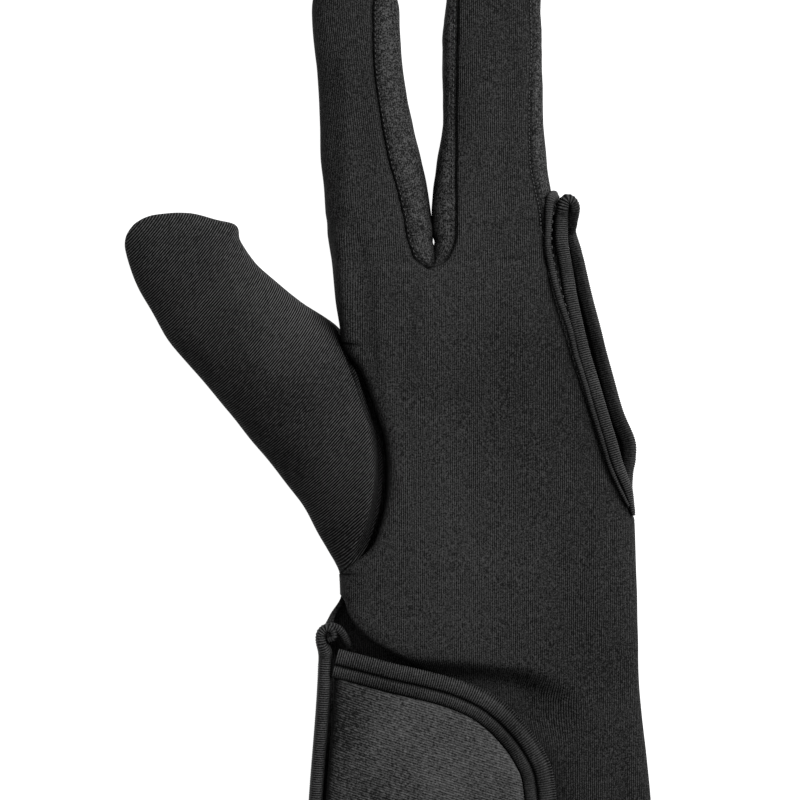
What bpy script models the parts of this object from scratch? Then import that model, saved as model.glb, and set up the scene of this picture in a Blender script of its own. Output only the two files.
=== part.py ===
# Three-finger heat glove, lying on its back panel, +Z up and the fingers along +Y.
# Every panel is a patch of one knitted skin: sections across the hand, stacked from hem to fingertip.
# Lengths are in millimetres until a mesh is made.

from collections import namedtuple
import math

import bmesh
import bpy
from mathutils import Matrix, Vector

for old in list(bpy.data.objects):
    bpy.data.objects.remove(old)

MM = 0.001

# Driving sizes
BODY_LENGTH = 169.0       # hem to the crotch between the two fingers
INDEX_LENGTH = 84.0       # crotch to index tip
MIDDLE_LENGTH = 91.0      # crotch to middle tip
PALM_WIDTH = 80.0         # across the hand below the fingers
INDEX_WIDTH = 24.5
MIDDLE_WIDTH = 27.0
THUMB_LENGTH = 92.0
THUMB_WIDTH = 33.0
THUMB_ANGLE = 127.0       # degrees from +X to the thumb's axis
PALM_THICKNESS = 17.0
FINGER_THICKNESS = 12.5
THUMB_THICKNESS = 14.0
FINGER_TIP = 11.0         # length of a finger's rounded end
WALL = 1.4                # knitted cloth
STRAP_WALL = 2.0
STRAP_STAND = 2.0         # from the front panel to the strap's under face
TAPE_THICKNESS = 2.6      # folded tape, pressed flat
OPENING_TAPE_WIDTH = 5.0  # front edge of the side opening
ROLLED_TAPE_WIDTH = 2.8   # back edge, where the tape is rolled
HEM_LIFT = 0.15           # the hem's tape hangs just clear of the surface
HEM_TAPE_WIDTH = 5.0
STRAP_REACH = 53.5        # from the ridge to the far end of the strap's cloth
STRAP_POINT = 1.0         # width of the strap's cloth at its upper corner
STRAP_TAPE_WIDTH = 7.8    # both bands of the strap's edge
STRAP_TAPE_START = 2.0    # the lower tape starts this far from the ridge
STRAP_TAPE_GROOVE = 0.6   # depth of the groove between the two bands
RIDGE_WIDTH = 3.6         # bound ridge beside the strap
RIDGE_HEIGHT = 6.2
RIDGE_PROUD = 0.8         # how far it stands above the strap
TAPE_BEND = 0.7           # room beside the opening's straight tape for the cloth's curve
GAP = 0.3                 # between neighbouring pieces

# Places across the hand, as shares of the palm's width from its centre line
SPLIT = -0.184            # the crotch between the fingers
SLIT_EDGE = -0.451        # front panel's hidden edge at the hem
STRAP_ANCHOR = -0.521     # where the strap's reach is measured from
HOOK_LEFT, HOOK_RIGHT = -0.17, 0.07
THUMB_ROOT_X = -0.465     # start of the thumb's axis

# Where features begin, as shares of the body's length
THUMB_ROOT_UP = 0.6916
HOOK_LOW, HOOK_HIGH = 0.09, 0.22
SLIT_TOP = 0.464
THUMB_LOW = 0.502
THUMB_HIGH = 0.878
MERGE = 0.590             # lower end of the side opening
HEM_LIFT_END = 0.10       # the under face touches the surface from here up
STRAP_LOW = 0.056         # the strap's cloth, inside its tape
STRAP_HIGH = 0.336
RIDGE_TOP = 0.412

# Shape of a section
FOLD_HEIGHT = 0.34        # side fold, as a share of the thickness
UNDER_POWER = 6.0         # squareness of the under face's edges
UNDER_FLAT = 1.03         # share over 1 presses the under face flat
FOLD_POWER = 2.6          # roundness of the thumb
FLANK_HIGHEST = 0.97      # the back panel's edge at the cuff ends below this share of the height
TUCK = 1.2                # how far a fourchette slips under a panel at the crotch, in walls
TIP_NARROW = 0.45         # a fingertip's width where it closes
BODY_POWER = 4.5          # squareness of the top, with round edges at the folds

# Fineness of the meshes
INDEX_COLUMNS = 7
MIDDLE_COLUMNS = 8
FOURCHETTE_COLUMNS = 4
STRAP_COLUMNS = 9
STRAP_ROWS = (0, 0.05, 0.13, 0.26, 0.42, 0.53, 0.59, 0.65, 0.71, 0.77, 0.81, 0.85, 0.89, 0.93, 0.965, 1.0)
THUMB_STEPS = 12
SAG_ROWS = 4              # thumb rows that still follow the seam's curve
TURN_STEPS = 6            # round the opening's upper end
TIP_TURNS = (0, 30, 55, 75, 89)
CLIMB_STEP = 0.5          # when a distance is measured round a section
CROTCH_SHARES = (0.17, 0.38, 0.67)  # rows between the crotch and the fourchette's tail
CUFF_ROWS = 5
KNUCKLE_ROWS = 3
TAIL_ROWS = 3
SHAFT_ROWS = 8
SAG_FADE = 1.5            # how fast they leave it
TIP_SETBACK = 1.2         # how far the thumb tip's inside lies behind its outside, in walls
FOURCHETTE_TURN = 75      # the fourchettes end here, where the tip has nearly closed

# Cross-section of pressed tape: across and up, as shares of its half width and half thickness
ROUNDED = ((-1, -0.5), (-0.86, -1), (0.86, -1), (1, -0.5), (1, 0.5), (0.86, 1), (-0.86, 1), (-1, 0.5))

# x is a share of PALM_WIDTH from the hand's centre line, up a share of BODY_LENGTH
Body = namedtuple("Body", "up left right thick")
BODY = (
    Body(0.000, -0.611, 0.608, 0.88),
    Body(0.130, -0.597, 0.597, 0.90),
    Body(0.330, -0.566, 0.556, 0.93),
    Body(0.390, -0.561, 0.552, 0.95),
    Body(0.430, -0.526, 0.549, 0.96),
    Body(0.464, -0.486, 0.548, 0.97),
    Body(0.502, -0.476, 0.545, 0.98),
    Body(0.600, -0.540, 0.540, 1.00),
    Body(0.690, -0.560, 0.531, 1.00),
    Body(0.724, -0.550, 0.526, 1.00),
    Body(0.766, -0.530, 0.497, 0.99),
    Body(0.811, -0.505, 0.465, 0.98),
    Body(0.878, -0.479, 0.421, 0.96),
    Body(0.952, -0.503, 0.382, 0.92),
    Body(1.000, -0.512, 0.351, 0.89),
)

# The thumb's seam across the front: along is a share of the way from its lower end to its upper end
Seam = namedtuple("Seam", "along x")
THUMB_SEAM = (
    Seam(0.00, -0.474),
    Seam(0.07, -0.434),
    Seam(0.15, -0.396),
    Seam(0.36, -0.354),
    Seam(0.47, -0.351),
    Seam(0.59, -0.361),
    Seam(0.67, -0.382),
    Seam(0.82, -0.427),
    Seam(0.95, -0.469),
    Seam(1.00, -0.479),
)

# Front edge of the side opening, where the cloth meets its tape
Opening = namedtuple("Opening", "up front")
OPENING = (
    Opening(0.590, 0.522),
    Opening(0.640, 0.496),
    Opening(0.690, 0.443),
    Opening(0.766, 0.392),
    Opening(0.878, 0.312),
    Opening(0.970, 0.257),
    Opening(1.045, 0.230),
    Opening(1.110, 0.238),
    Opening(1.135, 0.252),
)

# up is a share of the finger's length, axis of PALM_WIDTH, the rest of the finger's width from the axis
Finger = namedtuple("Finger", "up axis left right left_seam right_seam left_power right_power thick")
INDEX = (
    Finger(0.00, -0.350, -0.53, 0.54, -0.53, 0.52, 2.6, 6.0, 1.12),
    Finger(0.04, -0.352, -0.54, 0.59, -0.54, 0.42, 2.6, 6.0, 1.12),
    Finger(0.11, -0.356, -0.56, 0.62, -0.56, 0.36, 2.6, 6.0, 1.10),
    Finger(0.22, -0.362, -0.58, 0.60, -0.58, 0.30, 2.6, 4.5, 1.06),
    Finger(0.36, -0.372, -0.59, 0.54, -0.59, 0.20, 2.6, 3.2, 1.02),
    Finger(0.50, -0.388, -0.55, 0.50, -0.55, 0.16, 2.6, 2.8, 1.00),
    Finger(0.64, -0.406, -0.52, 0.47, -0.52, 0.15, 2.6, 2.6, 0.98),
    Finger(0.88, -0.434, -0.50, 0.50, -0.50, 0.22, 2.6, 2.6, 0.94),
    Finger(1.00, -0.436, -0.48, 0.48, -0.48, 0.22, 2.6, 2.6, 0.92),
)
MIDDLE = (
    Finger(0.00, 0.070, -0.70, 0.83, -0.68, 0.65, 6.0, 2.6, 1.14),
    Finger(0.04, 0.069, -0.65, 0.79, -0.56, 0.61, 6.0, 2.6, 1.13),
    Finger(0.11, 0.068, -0.66, 0.73, -0.48, 0.46, 6.0, 2.6, 1.11),
    Finger(0.18, 0.066, -0.66, 0.68, -0.47, 0.445, 5.5, 2.8, 1.08),
    Finger(0.25, 0.064, -0.65, 0.55, -0.47, 0.40, 4.5, 2.8, 1.05),
    Finger(0.34, 0.061, -0.62, 0.52, -0.46, 0.36, 3.6, 2.8, 1.02),
    Finger(0.46, 0.058, -0.55, 0.49, -0.45, 0.36, 2.8, 2.8, 1.00),
    Finger(0.70, 0.053, -0.54, 0.49, -0.42, 0.40, 2.6, 2.6, 0.97),
    Finger(0.88, 0.050, -0.48, 0.49, -0.40, 0.40, 2.6, 2.6, 0.94),
    Finger(1.00, 0.050, -0.48, 0.48, -0.40, 0.40, 2.6, 2.6, 0.92),
)
OPENING_TOP = 0.225       # upper end of the side opening, as a share of MIDDLE_LENGTH
TAIL_LOW = 0.120          # lower end of the outer fourchette, likewise
TAPE_BEND_START = 0.100   # where the opening's tape starts to turn over, likewise
KNOB_UP = 0.175           # top of the opening's tape, likewise
KNOB_SQUARE = 0.7         # squareness of that turn

# Both sides of the thumb: along its axis (share of THUMB_LENGTH) and across it (share of THUMB_WIDTH)
Thumb = namedtuple("Thumb", "low_along low_across high_along high_across thick")
THUMB = (
    Thumb(-0.268, -0.595, 0.276, 0.568, 1.12),
    Thumb(-0.151, -0.581, 0.367, 0.581, 1.12),
    Thumb(-0.013, -0.533, 0.469, 0.480, 1.10),
    Thumb(0.142, -0.545, 0.561, 0.420, 1.07),
    Thumb(0.296, -0.558, 0.648, 0.380, 1.04),
    Thumb(0.455, -0.584, 0.722, 0.411, 1.00),
    Thumb(0.611, -0.603, 0.762, 0.464, 0.96),
    Thumb(0.747, -0.562, 0.826, 0.346, 0.88),
    Thumb(0.855, -0.500, 0.882, 0.190, 0.74),
    Thumb(0.925, -0.410, 0.928, 0.050, 0.52),
    Thumb(0.966, -0.260, 0.960, -0.100, 0.00),
)

# The strap's cloth on the hand: up is a share of its height, reach of its width from the ridge
Strap = namedtuple("Strap", "up reach")
STRAP = (
    Strap(0.00, 0.86),
    Strap(0.05, 0.93),
    Strap(0.13, 0.98),
    Strap(0.26, 1.00),
    Strap(0.42, 0.985),
    Strap(0.53, 0.94),
    Strap(0.65, 0.86),
    Strap(0.77, 0.735),
    Strap(0.85, 0.57),
    Strap(0.93, 0.28),
    Strap(1.00, 0.05),
)

SectionShape = namedtuple("SectionShape", "y left right mid rise drop left_power right_power")


def smooth(table, column, at):
    """Value of a column between a table's rows, on a cubic that doesn't overshoot."""
    xs = [row[0] for row in table]
    ys = [getattr(row, column) for row in table]
    at = min(max(at, xs[0]), xs[-1])
    k = max(i for i in range(len(xs) - 1) if xs[i] <= at)
    rises = [(ys[i + 1] - ys[i]) / (xs[i + 1] - xs[i]) for i in range(len(xs) - 1)]

    def slope(i):
        before, after = rises[max(i - 1, 0)], rises[min(i, len(rises) - 1)]
        return 0.0 if before * after <= 0 else 2 * before * after / (before + after)

    width = xs[k + 1] - xs[k]
    t = (at - xs[k]) / width
    return (
        (2 * t**3 - 3 * t**2 + 1) * ys[k]
        + (t**3 - 2 * t**2 + t) * width * slope(k)
        + (3 * t**2 - 2 * t**3) * ys[k + 1]
        + (t**3 - t**2) * width * slope(k + 1)
    )


# Sections of the hand and the fingers

def body_section(up, depth=0.0):
    """Section across the hand; depth is how far inside the outer face it lies."""
    lift = ((TAPE_THICKNESS - WALL) / 2 + HEM_LIFT) * max(0.0, 1 - up / HEM_LIFT_END)
    thick = PALM_THICKNESS * smooth(BODY, "thick", up)
    mid = FOLD_HEIGHT * PALM_THICKNESS
    return SectionShape(
        up * BODY_LENGTH,
        smooth(BODY, "left", up) * PALM_WIDTH + depth,
        smooth(BODY, "right", up) * PALM_WIDTH - depth,
        mid,
        thick - mid - depth,
        mid - lift - depth,
        BODY_POWER,
        BODY_POWER,
    )


def finger_section(table, length, width, up, depth=0.0):
    """Section across a finger. Beyond its last length FINGER_TIP it closes as a quarter ellipse."""
    mid = FOLD_HEIGHT * PALM_THICKNESS
    start = length - FINGER_TIP
    y = up * length
    close = 1.0
    if y > start:
        turn = (y - start) / FINGER_TIP * math.pi / 2
        y = start + (FINGER_TIP - depth) * math.sin(turn)
        close = math.cos(turn)
    axis = smooth(table, "axis", up) * PALM_WIDTH
    thick = FINGER_THICKNESS * smooth(table, "thick", up)
    narrow = TIP_NARROW + (1 - TIP_NARROW) * close
    return SectionShape(
        BODY_LENGTH + y,
        axis + smooth(table, "left", up) * width * narrow + depth,
        axis + smooth(table, "right", up) * width * narrow - depth,
        mid,
        (thick - mid - depth) * close,
        (mid - depth) * close,
        smooth(table, "left_power", up),
        smooth(table, "right_power", up),
    )


def skin(shape, degrees):
    """Point of a section: 0 is its right fold, 90 the top, 180 the left fold, 270 the under side."""
    c = math.cos(math.radians(degrees))
    s = math.sin(math.radians(degrees))
    power = shape.right_power if c >= 0 else shape.left_power
    if s < 0:
        power = UNDER_POWER
    reach = (abs(c) ** power + abs(s) ** power) ** (-1 / power)
    x = (shape.right + shape.left) / 2 + (shape.right - shape.left) / 2 * c * reach
    if s < 0:
        return Vector((x, shape.y, shape.mid - shape.drop * min(1.0, UNDER_FLAT * -s * reach)))
    return Vector((x, shape.y, shape.mid + shape.rise * s * reach))


def angle_at(shape, x, under=False):
    """Angle of the section's point at this x, on the top or on the under face."""
    share = (x - (shape.right + shape.left) / 2) / ((shape.right - shape.left) / 2)
    share = min(max(share, -1.0), 1.0)
    power = UNDER_POWER if under else (shape.right_power if share >= 0 else shape.left_power)
    height = (1 - abs(share) ** power) ** (1 / power)
    degrees = math.degrees(math.atan2(height, share))
    return 360 - degrees if under else degrees


def height_angle(share, power):
    """Angle at the right fold's side where a section has this share of its height."""
    return math.degrees(math.atan2(share, (1 - share**power) ** (1 / power)))


def slide(shape, degrees, distance):
    """Angle reached from another one by going this far round the section."""
    pace = (skin(shape, degrees + 0.5) - skin(shape, degrees - 0.5)).length
    return degrees + distance / max(pace, 0.01)


def climb(shape, degrees, distance):
    """The same over a longer way, in short steps."""
    steps = max(1, math.ceil(abs(distance) / CLIMB_STEP))
    for _ in range(steps):
        degrees = slide(shape, degrees, distance / steps)
    return degrees


# Meshes

def material(name, shade, roughness):
    made = bpy.data.materials.new(name)
    made.use_nodes = True
    shader = made.node_tree.nodes["Principled BSDF"]
    shader.inputs["Base Color"].default_value = (shade, shade, shade, 1)
    shader.inputs["Roughness"].default_value = roughness
    shader.inputs["Metallic"].default_value = 0.0
    return made


def mesh_object(name, points, faces, look):
    """One closed mesh whose faces all wind one way, turned outwards."""
    mesh = bpy.data.meshes.new(name)
    mesh.from_pydata([point * MM for point in points], [], faces)
    mesh.materials.append(look)
    mesh.shade_smooth()
    solid = bmesh.new()
    solid.from_mesh(mesh)
    bmesh.ops.triangulate(solid, faces=solid.faces)
    if solid.calc_volume(signed=True) < 0:
        bmesh.ops.reverse_faces(solid, faces=solid.faces)
    solid.to_mesh(mesh)
    solid.free()
    made = bpy.data.objects.new(name, mesh)
    bpy.context.scene.collection.objects.link(made)
    return made


def shell(name, grids, look):
    """Cloth: grids of (outer, inner) point pairs that share corners, walled along every free edge."""
    points, index, faces, sides = [], {}, [], {}

    def corner(pair):
        key = tuple(round(v, 3) for v in (*pair[0], *pair[1]))
        if key not in index:
            index[key] = len(points)
            points.extend(pair)
        return index[key]

    for grid in grids:
        for lower, upper in zip(grid, grid[1:]):
            for k in range(len(lower) - 1):
                ring = [corner(p) for p in (lower[k], lower[k + 1], upper[k + 1], upper[k])]
                ring = [r for n, r in enumerate(ring) if r != ring[n - 1]]
                if len(ring) < 3:
                    continue
                faces.append(ring)
                faces.append([r + 1 for r in reversed(ring)])
                for a, b in zip(ring, ring[1:] + ring[:1]):
                    sides[(a, b)] = sides.get((a, b), 0) + 1
    for a, b in list(sides):
        if (b, a) not in sides:
            faces.append([b, a, a + 1, b + 1])
    return mesh_object(name, points, faces, look)


def band(name, stations, look):
    """Tape swept along stations of (centre, half width vector, half thickness vector, profile)."""
    points, faces = [], []
    count = len(stations[0][3])
    for centre, across, up, profile in stations:
        points += [centre + across * a + up * b for a, b in profile]
    for k in range(len(stations) - 1):
        here, there = k * count, (k + 1) * count
        for n in range(count):
            m = (n + 1) % count
            faces.append([here + n, here + m, there + m, there + n])
    faces.append(list(range(count))[::-1])
    faces.append([(len(stations) - 1) * count + n for n in range(count)])
    return mesh_object(name, points, faces, look)


# The glove's panels

KNIT = material("black_knit", 0.024, 0.75)
FOURCHETTE_KNIT = material("fourchette_knit", 0.034, 0.8)
TAPE = material("binding_tape", 0.018, 0.7)
STRAP_CLOTH = material("brushed_strap", 0.045, 0.85)
HOOK = material("hook_patch", 0.015, 0.6)

INDEX_SIDE = (INDEX, INDEX_LENGTH, INDEX_WIDTH)
MIDDLE_SIDE = (MIDDLE, MIDDLE_LENGTH, MIDDLE_WIDTH)
HALF_GAP = GAP / 2


def even(first, last, count):
    return [first + (last - first) * k / count for k in range(count + 1)]


def thumb_seam(up):
    """x of the thumb's seam at this height."""
    along = (up - THUMB_LOW) / (THUMB_HIGH - THUMB_LOW)
    return smooth(THUMB_SEAM, "x", along) * PALM_WIDTH


def seam_stations():
    return [
        THUMB_LOW + (THUMB_HIGH - THUMB_LOW) * (1 - math.cos(math.pi * k / THUMB_STEPS)) / 2
        for k in range(1, THUMB_STEPS)
    ]


def body_stations():
    hem = (HEM_TAPE_WIDTH + GAP) / BODY_LENGTH
    slit = [STRAP_HIGH, (STRAP_HIGH + RIDGE_TOP) / 2, RIDGE_TOP, (RIDGE_TOP + SLIT_TOP) / 2, SLIT_TOP]
    knuckles = even(THUMB_HIGH, 1.0, KNUCKLE_ROWS)
    return even(hem, STRAP_HIGH, CUFF_ROWS)[:-1] + slit + [THUMB_LOW] + seam_stations() + knuckles


def finger_stations(length):
    crotch = [TAIL_LOW * share for share in CROTCH_SHARES]
    tail = even(TAIL_LOW, OPENING_TOP, TAIL_ROWS)
    shaft = even(OPENING_TOP, 1 - FINGER_TIP / length, SHAFT_ROWS)[1:-1]
    return crotch + tail + shaft + [1 - FINGER_TIP / length * (1 - turn / 90) for turn in TIP_TURNS]


def opening_front(up):
    """x of the side opening's front edge, up in shares of the body's length."""
    return smooth(OPENING, "front", up) * PALM_WIDTH


def edge_below_fold(shape):
    """Where the back panel ends under the opening's tape."""
    return 360 - height_angle((ROLLED_TAPE_WIDTH / 2 + GAP) / (shape.drop - WALL), UNDER_POWER)


def ridge_place(up):
    """Centre of the bound ridge beside the strap."""
    shape = body_section(min(up, STRAP_HIGH), -STRAP_STAND - STRAP_WALL)
    x = smooth(BODY, "left", up) * PALM_WIDTH + RIDGE_WIDTH / 2 - GAP
    over = skin(shape, angle_at(shape, x + RIDGE_WIDTH / 2 + GAP)).z
    return Vector((x, up * BODY_LENGTH, over + RIDGE_PROUD - RIDGE_HEIGHT / 2))


def flank_angle(up):
    """The back panel's left edge: under the ridge at the cuff, down to the fold at the slit's top."""
    shape = body_section(up)
    height = (ridge_place(up).z - RIDGE_HEIGHT / 2 - GAP - shape.mid) / shape.rise
    height *= min(1.0, max(0.0, (SLIT_TOP - up) / (SLIT_TOP - RIDGE_TOP)))
    return 180 - height_angle(min(height, FLANK_HIGHEST), BODY_POWER)


def front_span(up):
    """First and last angle of the front panel across the hand."""
    shape = body_section(up)
    left = slide(shape, 180, -HALF_GAP)
    if up < SLIT_TOP - 0.001:
        slit = SLIT_EDGE + (smooth(BODY, "left", SLIT_TOP) - SLIT_EDGE) * up / SLIT_TOP
        left = angle_at(shape, slit * PALM_WIDTH)
    elif THUMB_LOW < up < THUMB_HIGH:
        left = angle_at(shape, thumb_seam(up) + HALF_GAP)
    right = slide(shape, 0, HALF_GAP)
    if up > MERGE:
        right = angle_at(shape, opening_front(up))
    return left, right


def back_span(up):
    """First and last angle of the back panel across the hand."""
    shape = body_section(up)
    left = slide(shape, 180, HALF_GAP)
    if up < SLIT_TOP - 0.001:
        left = flank_angle(up)
    elif THUMB_LOW < up < THUMB_HIGH:
        left = angle_at(shape, thumb_seam(up) + HALF_GAP, under=True)
    right = edge_below_fold(shape) if up > MERGE else slide(shape, 360, -HALF_GAP)
    return left, right


def finger_span(side, up, under=False):
    """Angles of a panel's two edges across a finger, both at the folds where the tip closes."""
    table, length, width = side
    shape = finger_section(table, length, width, up)
    axis = smooth(table, "axis", up) * PALM_WIDTH
    turn = max(0.0, (up * length - length + FINGER_TIP) / FINGER_TIP * 90)
    close = math.cos(math.radians(min(90, turn * 90 / FOURCHETTE_TURN)))
    fold = 360 if under else 0
    spans = []
    for column, edge in (("left_seam", 180), ("right_seam", fold)):
        seam = angle_at(shape, axis + smooth(table, column, up) * width, under)
        spans.append(edge + (seam - edge) * close)
    inward = 1 if under else -1
    left = slide(shape, spans[0], inward * HALF_GAP)
    right = slide(shape, spans[1], -inward * HALF_GAP)
    if table is MIDDLE and up < OPENING_TOP:
        if under:
            right = edge_below_fold(shape)
        elif up < TAIL_LOW:
            right = angle_at(shape, opening_front(1 + up * MIDDLE_LENGTH / BODY_LENGTH))
    return left, right


def row(make, angles):
    """(outer, inner) pairs across one section; make gives the section at a depth."""
    outer, inner = make(0.0), make(WALL)
    return [(skin(outer, a), skin(inner, a)) for a in angles]


def panel(name, span, under):
    """Front or back panel: one piece over the hand that forks into the two fingers."""
    body = []
    for up in body_stations():
        left, right = span(up)
        split = angle_at(body_section(up), SPLIT * PALM_WIDTH, under)
        angles = even(left, split, INDEX_COLUMNS) + even(split, right, MIDDLE_COLUMNS)[1:]
        body.append(row(lambda depth: body_section(up, depth), angles))
    grids = [body]
    for side, columns, first in (
        (INDEX_SIDE, INDEX_COLUMNS, 0),
        (MIDDLE_SIDE, MIDDLE_COLUMNS, INDEX_COLUMNS),
    ):
        strip = [body[-1][first : first + columns + 1]]
        for up in finger_stations(side[1]):
            angles = even(*finger_span(side, up, under), columns)
            strip.append(row(lambda depth: finger_section(*side, up, depth), angles))
        grids.append(strip)
    return shell(name, grids, KNIT)


def tucked(shape, degrees, up):
    """Near the crotch a fourchette's edge slips under the panel beside it."""
    if up > TAIL_LOW:
        return degrees
    reach, power = (shape.rise, shape.right_power) if degrees > 0 else (shape.drop, UNDER_POWER)
    share = 1 - (WALL + GAP) * TUCK / reach * (1 - up / TAIL_LOW)
    most = height_angle(share, power)
    return max(-most, min(most, degrees))


def fourchette_row(side, up, right, crotch=False):
    """Strip across a finger's side, from the front seam down to the back one."""
    shape = finger_section(*side, up)
    edge = 1 if right else 0
    top = slide(shape, finger_span(side, up)[edge], GAP * (1 - 2 * edge))
    low = slide(shape, finger_span(side, up, True)[edge], GAP * (2 * edge - 1))
    if right:
        top, low = tucked(shape, top, up), tucked(shape, low - 360, up)
    else:
        mirrored = shape._replace(right_power=shape.left_power)
        top, low = 180 - tucked(mirrored, 180 - top, up), 180 - tucked(mirrored, 180 - low, up)
    pairs = row(lambda depth: finger_section(*side, up, depth), even(top, low, FOURCHETTE_COLUMNS))
    if crotch:
        pairs = [(outer, inner - Vector((0, WALL, 0))) for outer, inner in pairs]
    return pairs


def inner_fourchette():
    """One strip: down the index finger's side, round the crotch and up the middle finger's."""
    crotch = WALL + GAP
    lowest = 2 * crotch
    index = [up for up in finger_stations(INDEX_LENGTH)[:-1] if up * INDEX_LENGTH > lowest]
    middle = [up for up in finger_stations(MIDDLE_LENGTH)[:-1] if up * MIDDLE_LENGTH > lowest]
    rows = [fourchette_row(INDEX_SIDE, up, True) for up in reversed(index)]
    last = fourchette_row(INDEX_SIDE, crotch / INDEX_LENGTH, True, True)
    first = fourchette_row(MIDDLE_SIDE, crotch / MIDDLE_LENGTH, False, True)
    between = [((a[0] + b[0]) / 2, (a[1] + b[1]) / 2) for a, b in zip(last, first)]
    rows += [last, between, first]
    rows += [fourchette_row(MIDDLE_SIDE, up, False) for up in middle]
    return shell("inner_fourchette", [rows], FOURCHETTE_KNIT)


def outer_fourchette():
    """The middle finger's outer side; below the opening's top only a tail stays beside the front panel."""
    rows = []
    for up in finger_stations(MIDDLE_LENGTH)[:-1]:
        if up < TAIL_LOW:
            continue
        if up >= OPENING_TOP:
            rows.append(fourchette_row(MIDDLE_SIDE, up, True))
            continue
        shape = finger_section(*MIDDLE_SIDE, up)
        first = slide(shape, finger_span(MIDDLE_SIDE, up)[1], -GAP)
        last = angle_at(shape, opening_front(1 + up * MIDDLE_LENGTH / BODY_LENGTH))
        angles = even(first, min(last, first - 1), FOURCHETTE_COLUMNS)
        rows.append(row(lambda depth: finger_section(*MIDDLE_SIDE, up, depth), angles))
    return shell("outer_fourchette", [rows], FOURCHETTE_KNIT)


# The thumb

def thumb_base():
    """The seam's ring: along the front from its upper to its lower end, and back along the under side."""
    stations = [THUMB_LOW] + seam_stations() + [THUMB_HIGH]
    ring = []
    for under, ups in ((False, stations[::-1]), (True, stations[1:-1])):
        for up in ups:
            shape = body_section(up)
            if up in (THUMB_LOW, THUMB_HIGH):
                ring.append(Vector((shape.left - GAP, shape.y, shape.mid)))
            else:
                x = thumb_seam(up) - HALF_GAP
                ring.append(skin(shape, angle_at(shape, x, under)))
    return ring


def thumb():
    turn = math.radians(THUMB_ANGLE)
    along = Vector((math.cos(turn), math.sin(turn), 0))
    across = Vector((math.sin(turn), -math.cos(turn), 0))
    root = Vector((THUMB_ROOT_X * PALM_WIDTH, THUMB_ROOT_UP * BODY_LENGTH, FOLD_HEIGHT * PALM_THICKNESS))
    base = thumb_base()
    rows = []
    for number, shape in enumerate(THUMB):
        low = root + along * shape.low_along * THUMB_LENGTH + across * shape.low_across * THUMB_WIDTH
        high = root + along * shape.high_along * THUMB_LENGTH + across * shape.high_across * THUMB_WIDTH
        width = (high - low).length
        side = (high - low).normalized()
        total = THUMB_THICKNESS * shape.thick
        drop = min(root.z, total / 2)
        pairs = []
        for k in range(2 * THUMB_STEPS):
            angle = 180 * k / THUMB_STEPS
            outer = SectionShape(0, -width / 2, width / 2, 0, total - drop, drop, FOLD_POWER, FOLD_POWER)
            here = skin(outer, angle)
            centre = (low + high) / 2
            point = centre + side * here.x + Vector((0, 0, here.z))
            if number == 0:
                point = base[k]
            elif number <= SAG_ROWS:
                fade = (1 - number / (SAG_ROWS + 1)) ** SAG_FADE
                bulge = (base[k] - thumb_chord(base, k)) * fade
                point += Vector((bulge.x, bulge.y, 0))
            reach = min(1.0, total / 2 / WALL)
            inset = side * (-WALL * math.copysign(min(1.0, abs(here.x) / (width / 2)), here.x))
            inset.z = -WALL * here.z / max(total - drop if here.z > 0 else drop, 0.001) if total else 0.0
            setback = TIP_SETBACK * WALL * (1 - min(1.0, shape.thick))
            inner = point + inset * reach - along * setback
            pairs.append((point, inner))
        rows.append(pairs + pairs[:1])
    return shell("thumb", [rows], KNIT)


def thumb_chord(base, k):
    """The straight line between the seam's ends, at the same share as the ring's point k."""
    high, low = base[0], base[THUMB_STEPS]
    share = (high.y - base[k].y) / (high.y - low.y)
    return high + (low - high) * share


# Tape and strap

def sweep(name, path, widths, profile=ROUNDED):
    """Tape along a path of (outer, inner) pairs of its middle line, with a width at each."""
    middles = [(outer + inner) / 2 for outer, inner in path]
    stations = []
    for k, (outer, inner) in enumerate(path):
        ahead = middles[min(k + 1, len(path) - 1)] - middles[max(k - 1, 0)]
        up = (outer - inner).normalized()
        side = ahead.cross(up).normalized()
        up = side.cross(ahead).normalized()
        stations.append((middles[k], side * widths[k] / 2, up * TAPE_THICKNESS / 2, profile))
    return band(name, stations, TAPE)


def body_pair(up, angle):
    return row(lambda depth: body_section(up, depth), [angle])[0]


def finger_pair(up, angle):
    return row(lambda depth: finger_section(*MIDDLE_SIDE, up, depth), [angle])[0]


def opening_binding():
    """Up the front edge from the merge, over at the top and down the back edge."""
    offset = GAP + TAPE_BEND + OPENING_TAPE_WIDTH / 2
    hand = [up for up in body_stations() if up > MERGE]
    finger = [TAPE_BEND_START * share for share in (0.35, 0.7, 1.0)]
    front, back = [], []
    for up in hand:
        shape = body_section(up)
        front.append(body_pair(up, climb(shape, angle_at(shape, opening_front(up)), -offset)))
        back.append(body_pair(up, 0))
    for up in finger:
        shape = finger_section(*MIDDLE_SIDE, up)
        edge = opening_front(1 + up * MIDDLE_LENGTH / BODY_LENGTH)
        angle = climb(shape, angle_at(shape, edge), -offset)
        front.append(finger_pair(up, angle))
        back.append(finger_pair(up, 0))
    top = []
    for k in range(1, TURN_STEPS):
        turn = math.pi * k / TURN_STEPS
        up = finger[-1] + (KNOB_UP - finger[-1]) * math.sin(turn) ** KNOB_SQUARE
        top.append(finger_pair(up, angle * (1 + math.cos(turn)) / 2))
    widths = even(OPENING_TAPE_WIDTH, ROLLED_TAPE_WIDTH, TURN_STEPS)[1:-1]
    widths = [OPENING_TAPE_WIDTH] * len(front) + widths + [ROLLED_TAPE_WIDTH] * len(back)
    return sweep("opening_binding", front + top + back[::-1], widths)


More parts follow.
